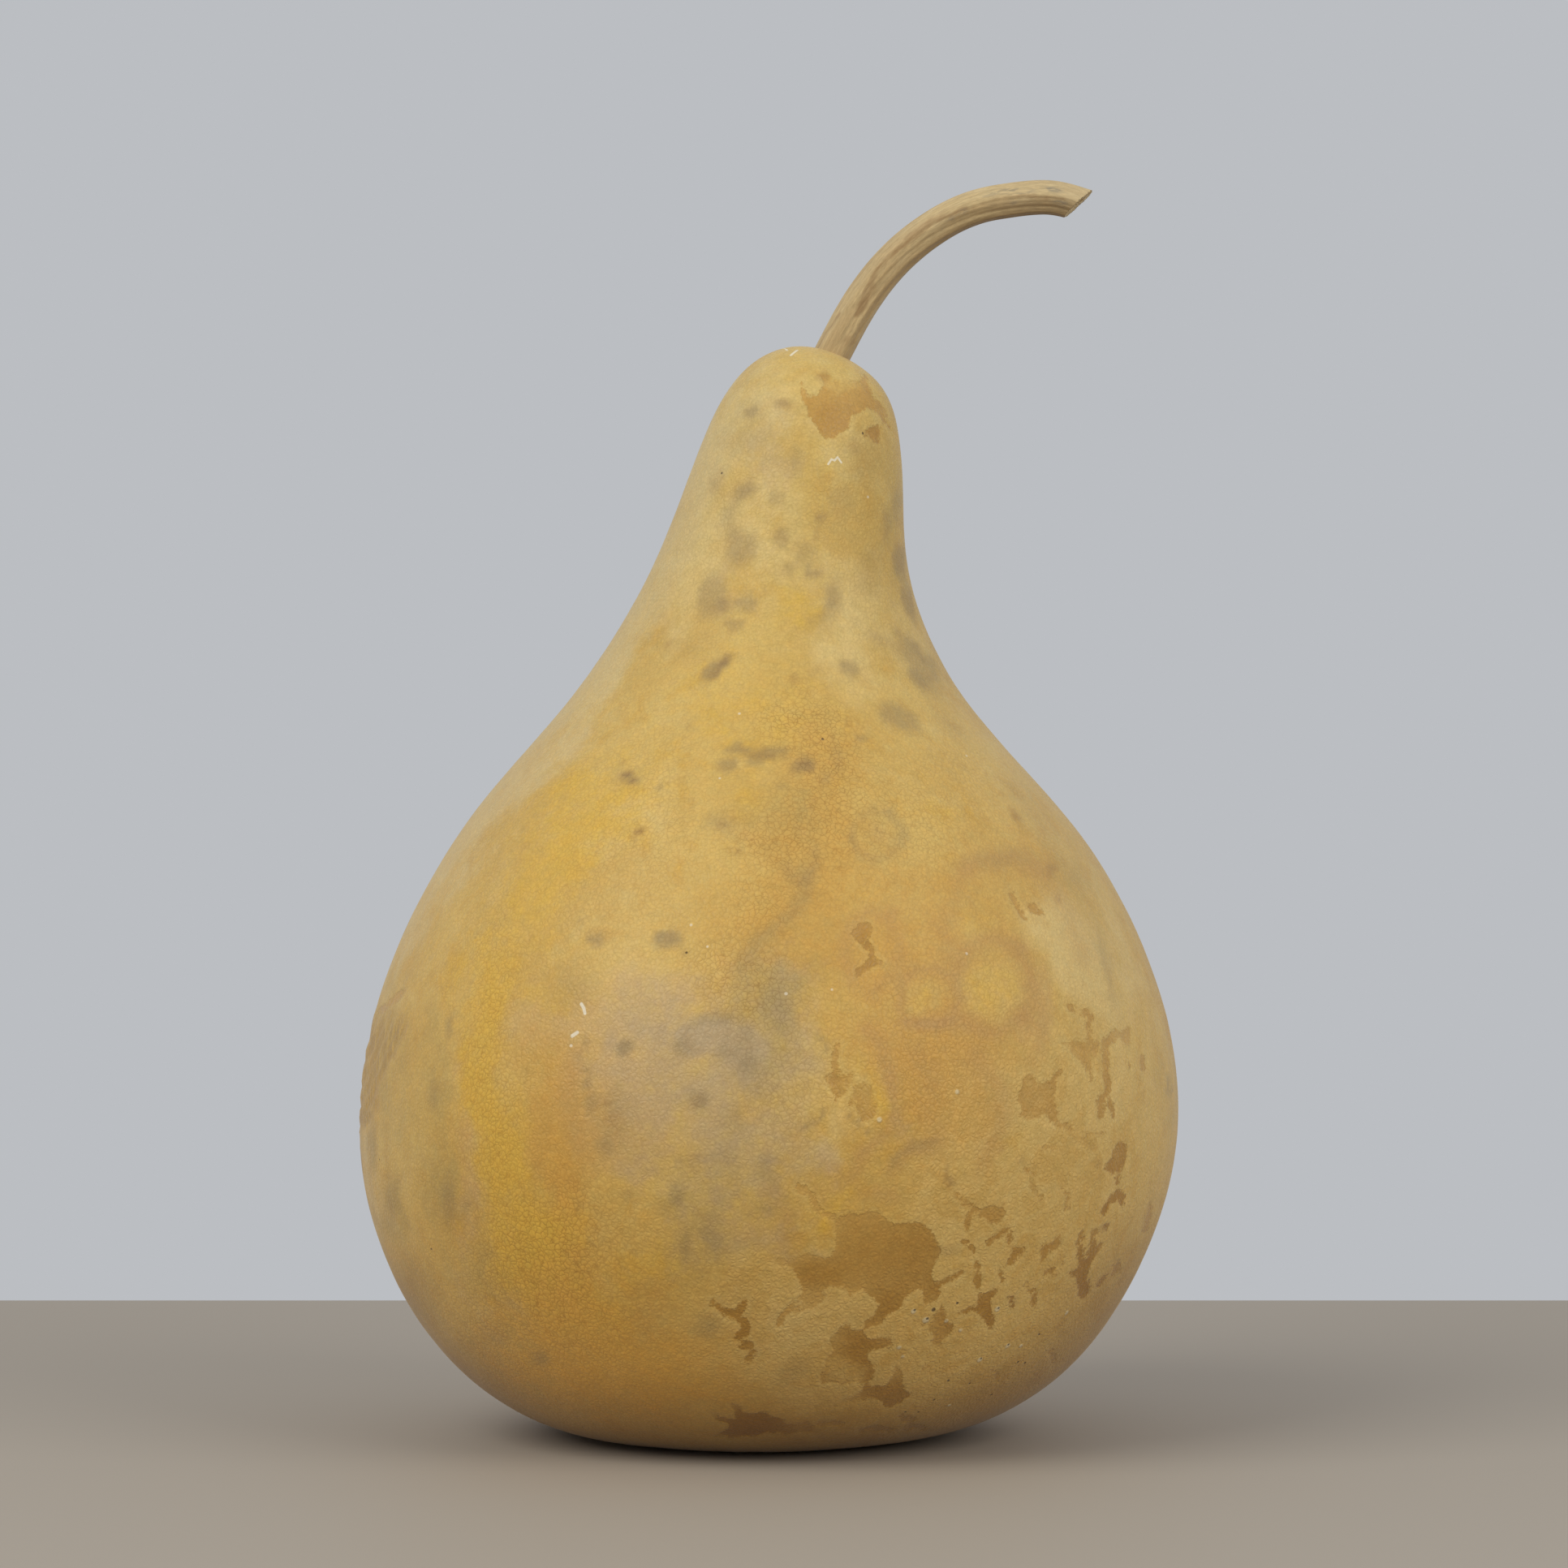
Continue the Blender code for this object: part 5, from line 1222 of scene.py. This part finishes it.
stalk_wood = bpy.data.materials.new("stalk wood")
stalk_wood.use_nodes = True
wood = Recipe(stalk_wood.node_tree)
grain_place = wood.put("ShaderNodeAttribute", attribute_name="grain").outputs["Vector"]
drawn_out = wood.drawn_out(grain_place, 0.07)
half_drawn = wood.drawn_out(grain_place, 0.25)
fibres = wood.mottle(drawn_out, 0.55, 4, 0.65)
streaks = wood.mottle(drawn_out, 2.2, 3, 0.6)
blotches = wood.mottle(half_drawn, 3.0, 4, 0.6)
flecks = wood.mottle(half_drawn, 0.7, 3, 0.6)
colour = wood.blend(wood.ease(streaks, 0.35, 0.75), WOOD, WOOD_STREAK)
colour = wood.stain(colour, wood.ease(blotches, 0.5, 0.75), 0.45, WOOD_PALE)
colour = wood.stain(colour, wood.ease(fibres, 0.35, 0.62, 1.0, 0.0), 0.30, WOOD_FIBRE)
colour = wood.stain(colour, wood.painted("tip"), 0.6, WOOD_TIP)
# Painted shade on the underside of the stalk.
colour = wood.stain(colour, wood.painted("under"), 0.9, WOOD_UNDER_SHADE)
colour, grit = wood.grained(half_drawn, colour, 0.5, 0.14)
browned = wood.line(fibres, 0.9, wood.reckon("ADD", wood.painted("brown"), -0.92))
browned = wood.ease(wood.line(flecks, 0.9, browned), 0.15, 0.95)
colour = wood.stain(colour, browned, 0.66, WOOD_BROWN)
greyed = wood.times(wood.painted("grey"), wood.ease(flecks, 0.42, 0.6), clamp=True)
colour = wood.stain(colour, greyed, 0.8, WOOD_GREY)
foot = wood.times(wood.painted("foot"), wood.ease(fibres, 0.3, 0.6, 1.0, 0.3))
colour = wood.stain(colour, foot, 0.3, WOOD_FOOT)
cut_colour = wood.blend(wood.ease(wood.mottle(grain_place, 0.35, 3), 0.35, 0.65), CUT_PALE, CUT_BROWN)
cut_colour = wood.stain(cut_colour, wood.painted("hollow"), 0.5, PITH_BROWN)
colour = wood.blend(wood.painted("cut"), colour, cut_colour)
roughness = wood.line(fibres, 0.25, 0.55, clamp=True)
height = wood.line(blotches, 0.00020, wood.times(fibres, 0.00012))
height = wood.line(grit, 0.00008, height)
wood.finish(colour, roughness, height, specular=0.3, sheen=0.10, bumpiness=0.9)
stalk.data.materials.append(stalk_wood)
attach(stalk, "root")
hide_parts("stem")

# --- The floor -------------------------------------------------------------------------------
# The plain pale table top that the gourd stands on: one flat sheet with a dull wooden finish. It
# ends a little behind the gourd, and past it there is only soft grey light.

TABLE_HALF = 1.6
TABLE_BACK = 0.32
TABLE_COLOUR = (0.365, 0.315, 0.26, 1)
floor_mesh = bpy.data.meshes.new("floor")
table_corners = [(x, y, 0) for x, y in (
    (-TABLE_HALF, -TABLE_HALF), (TABLE_HALF, -TABLE_HALF), (TABLE_HALF, TABLE_BACK), (-TABLE_HALF, TABLE_BACK)
)]
floor_mesh.from_pydata(table_corners, [], [(0, 1, 2, 3)])
floor = bpy.data.objects.new("floor", floor_mesh)
bpy.context.scene.collection.objects.link(floor)
board = bpy.data.materials.new("pale floor")
board.use_nodes = True
board_shader = board.node_tree.nodes["Principled BSDF"]
board_shader.inputs["Base Color"].default_value = TABLE_COLOUR
board_shader.inputs["Roughness"].default_value = 0.7
floor_mesh.materials.append(board)

# --- The light -------------------------------------------------------------------------------
# Soft daylight from a window at the upper left in front, less of it from the right, where a pale
# wall gives it back, and an even grey room all round.

ROOM_COLOUR = (0.47, 0.485, 0.51, 1)
ROOM_STRENGTH = 1.06
DAYLIGHT = (0.98, 0.985, 0.93)
world = bpy.data.worlds.new("room")
world.use_nodes = True
room = world.node_tree.nodes["Background"].inputs
room[0].default_value = ROOM_COLOUR
room[1].default_value = ROOM_STRENGTH
bpy.context.scene.world = world


def soft_light(name, place, aim, width, watts, colour):
    """A square area light that stands at a place and faces a point."""
    light = bpy.data.lights.new(name, "AREA")
    light.shape = "SQUARE"
    light.size = width
    light.energy = watts
    light.color = colour
    lamp = bpy.data.objects.new(name, light)
    lamp.location = place
    lamp.rotation_euler = (Vector(aim) - Vector(place)).to_track_quat("-Z", "Y").to_euler()
    bpy.context.scene.collection.objects.link(lamp)


soft_light("window", (-1.30, -1.15, 1.46), (0, 0, 0.13), 1.4, 24.9, DAYLIGHT)
soft_light("far_wall", (1.30, -1.10, 0.95), (0, 0, 0.1), 1.2, 13, DAYLIGHT)

view = bpy.context.scene.view_settings
view.view_transform = "Standard"
view.look = "None"
view.exposure = 0.0
view.gamma = 1.0
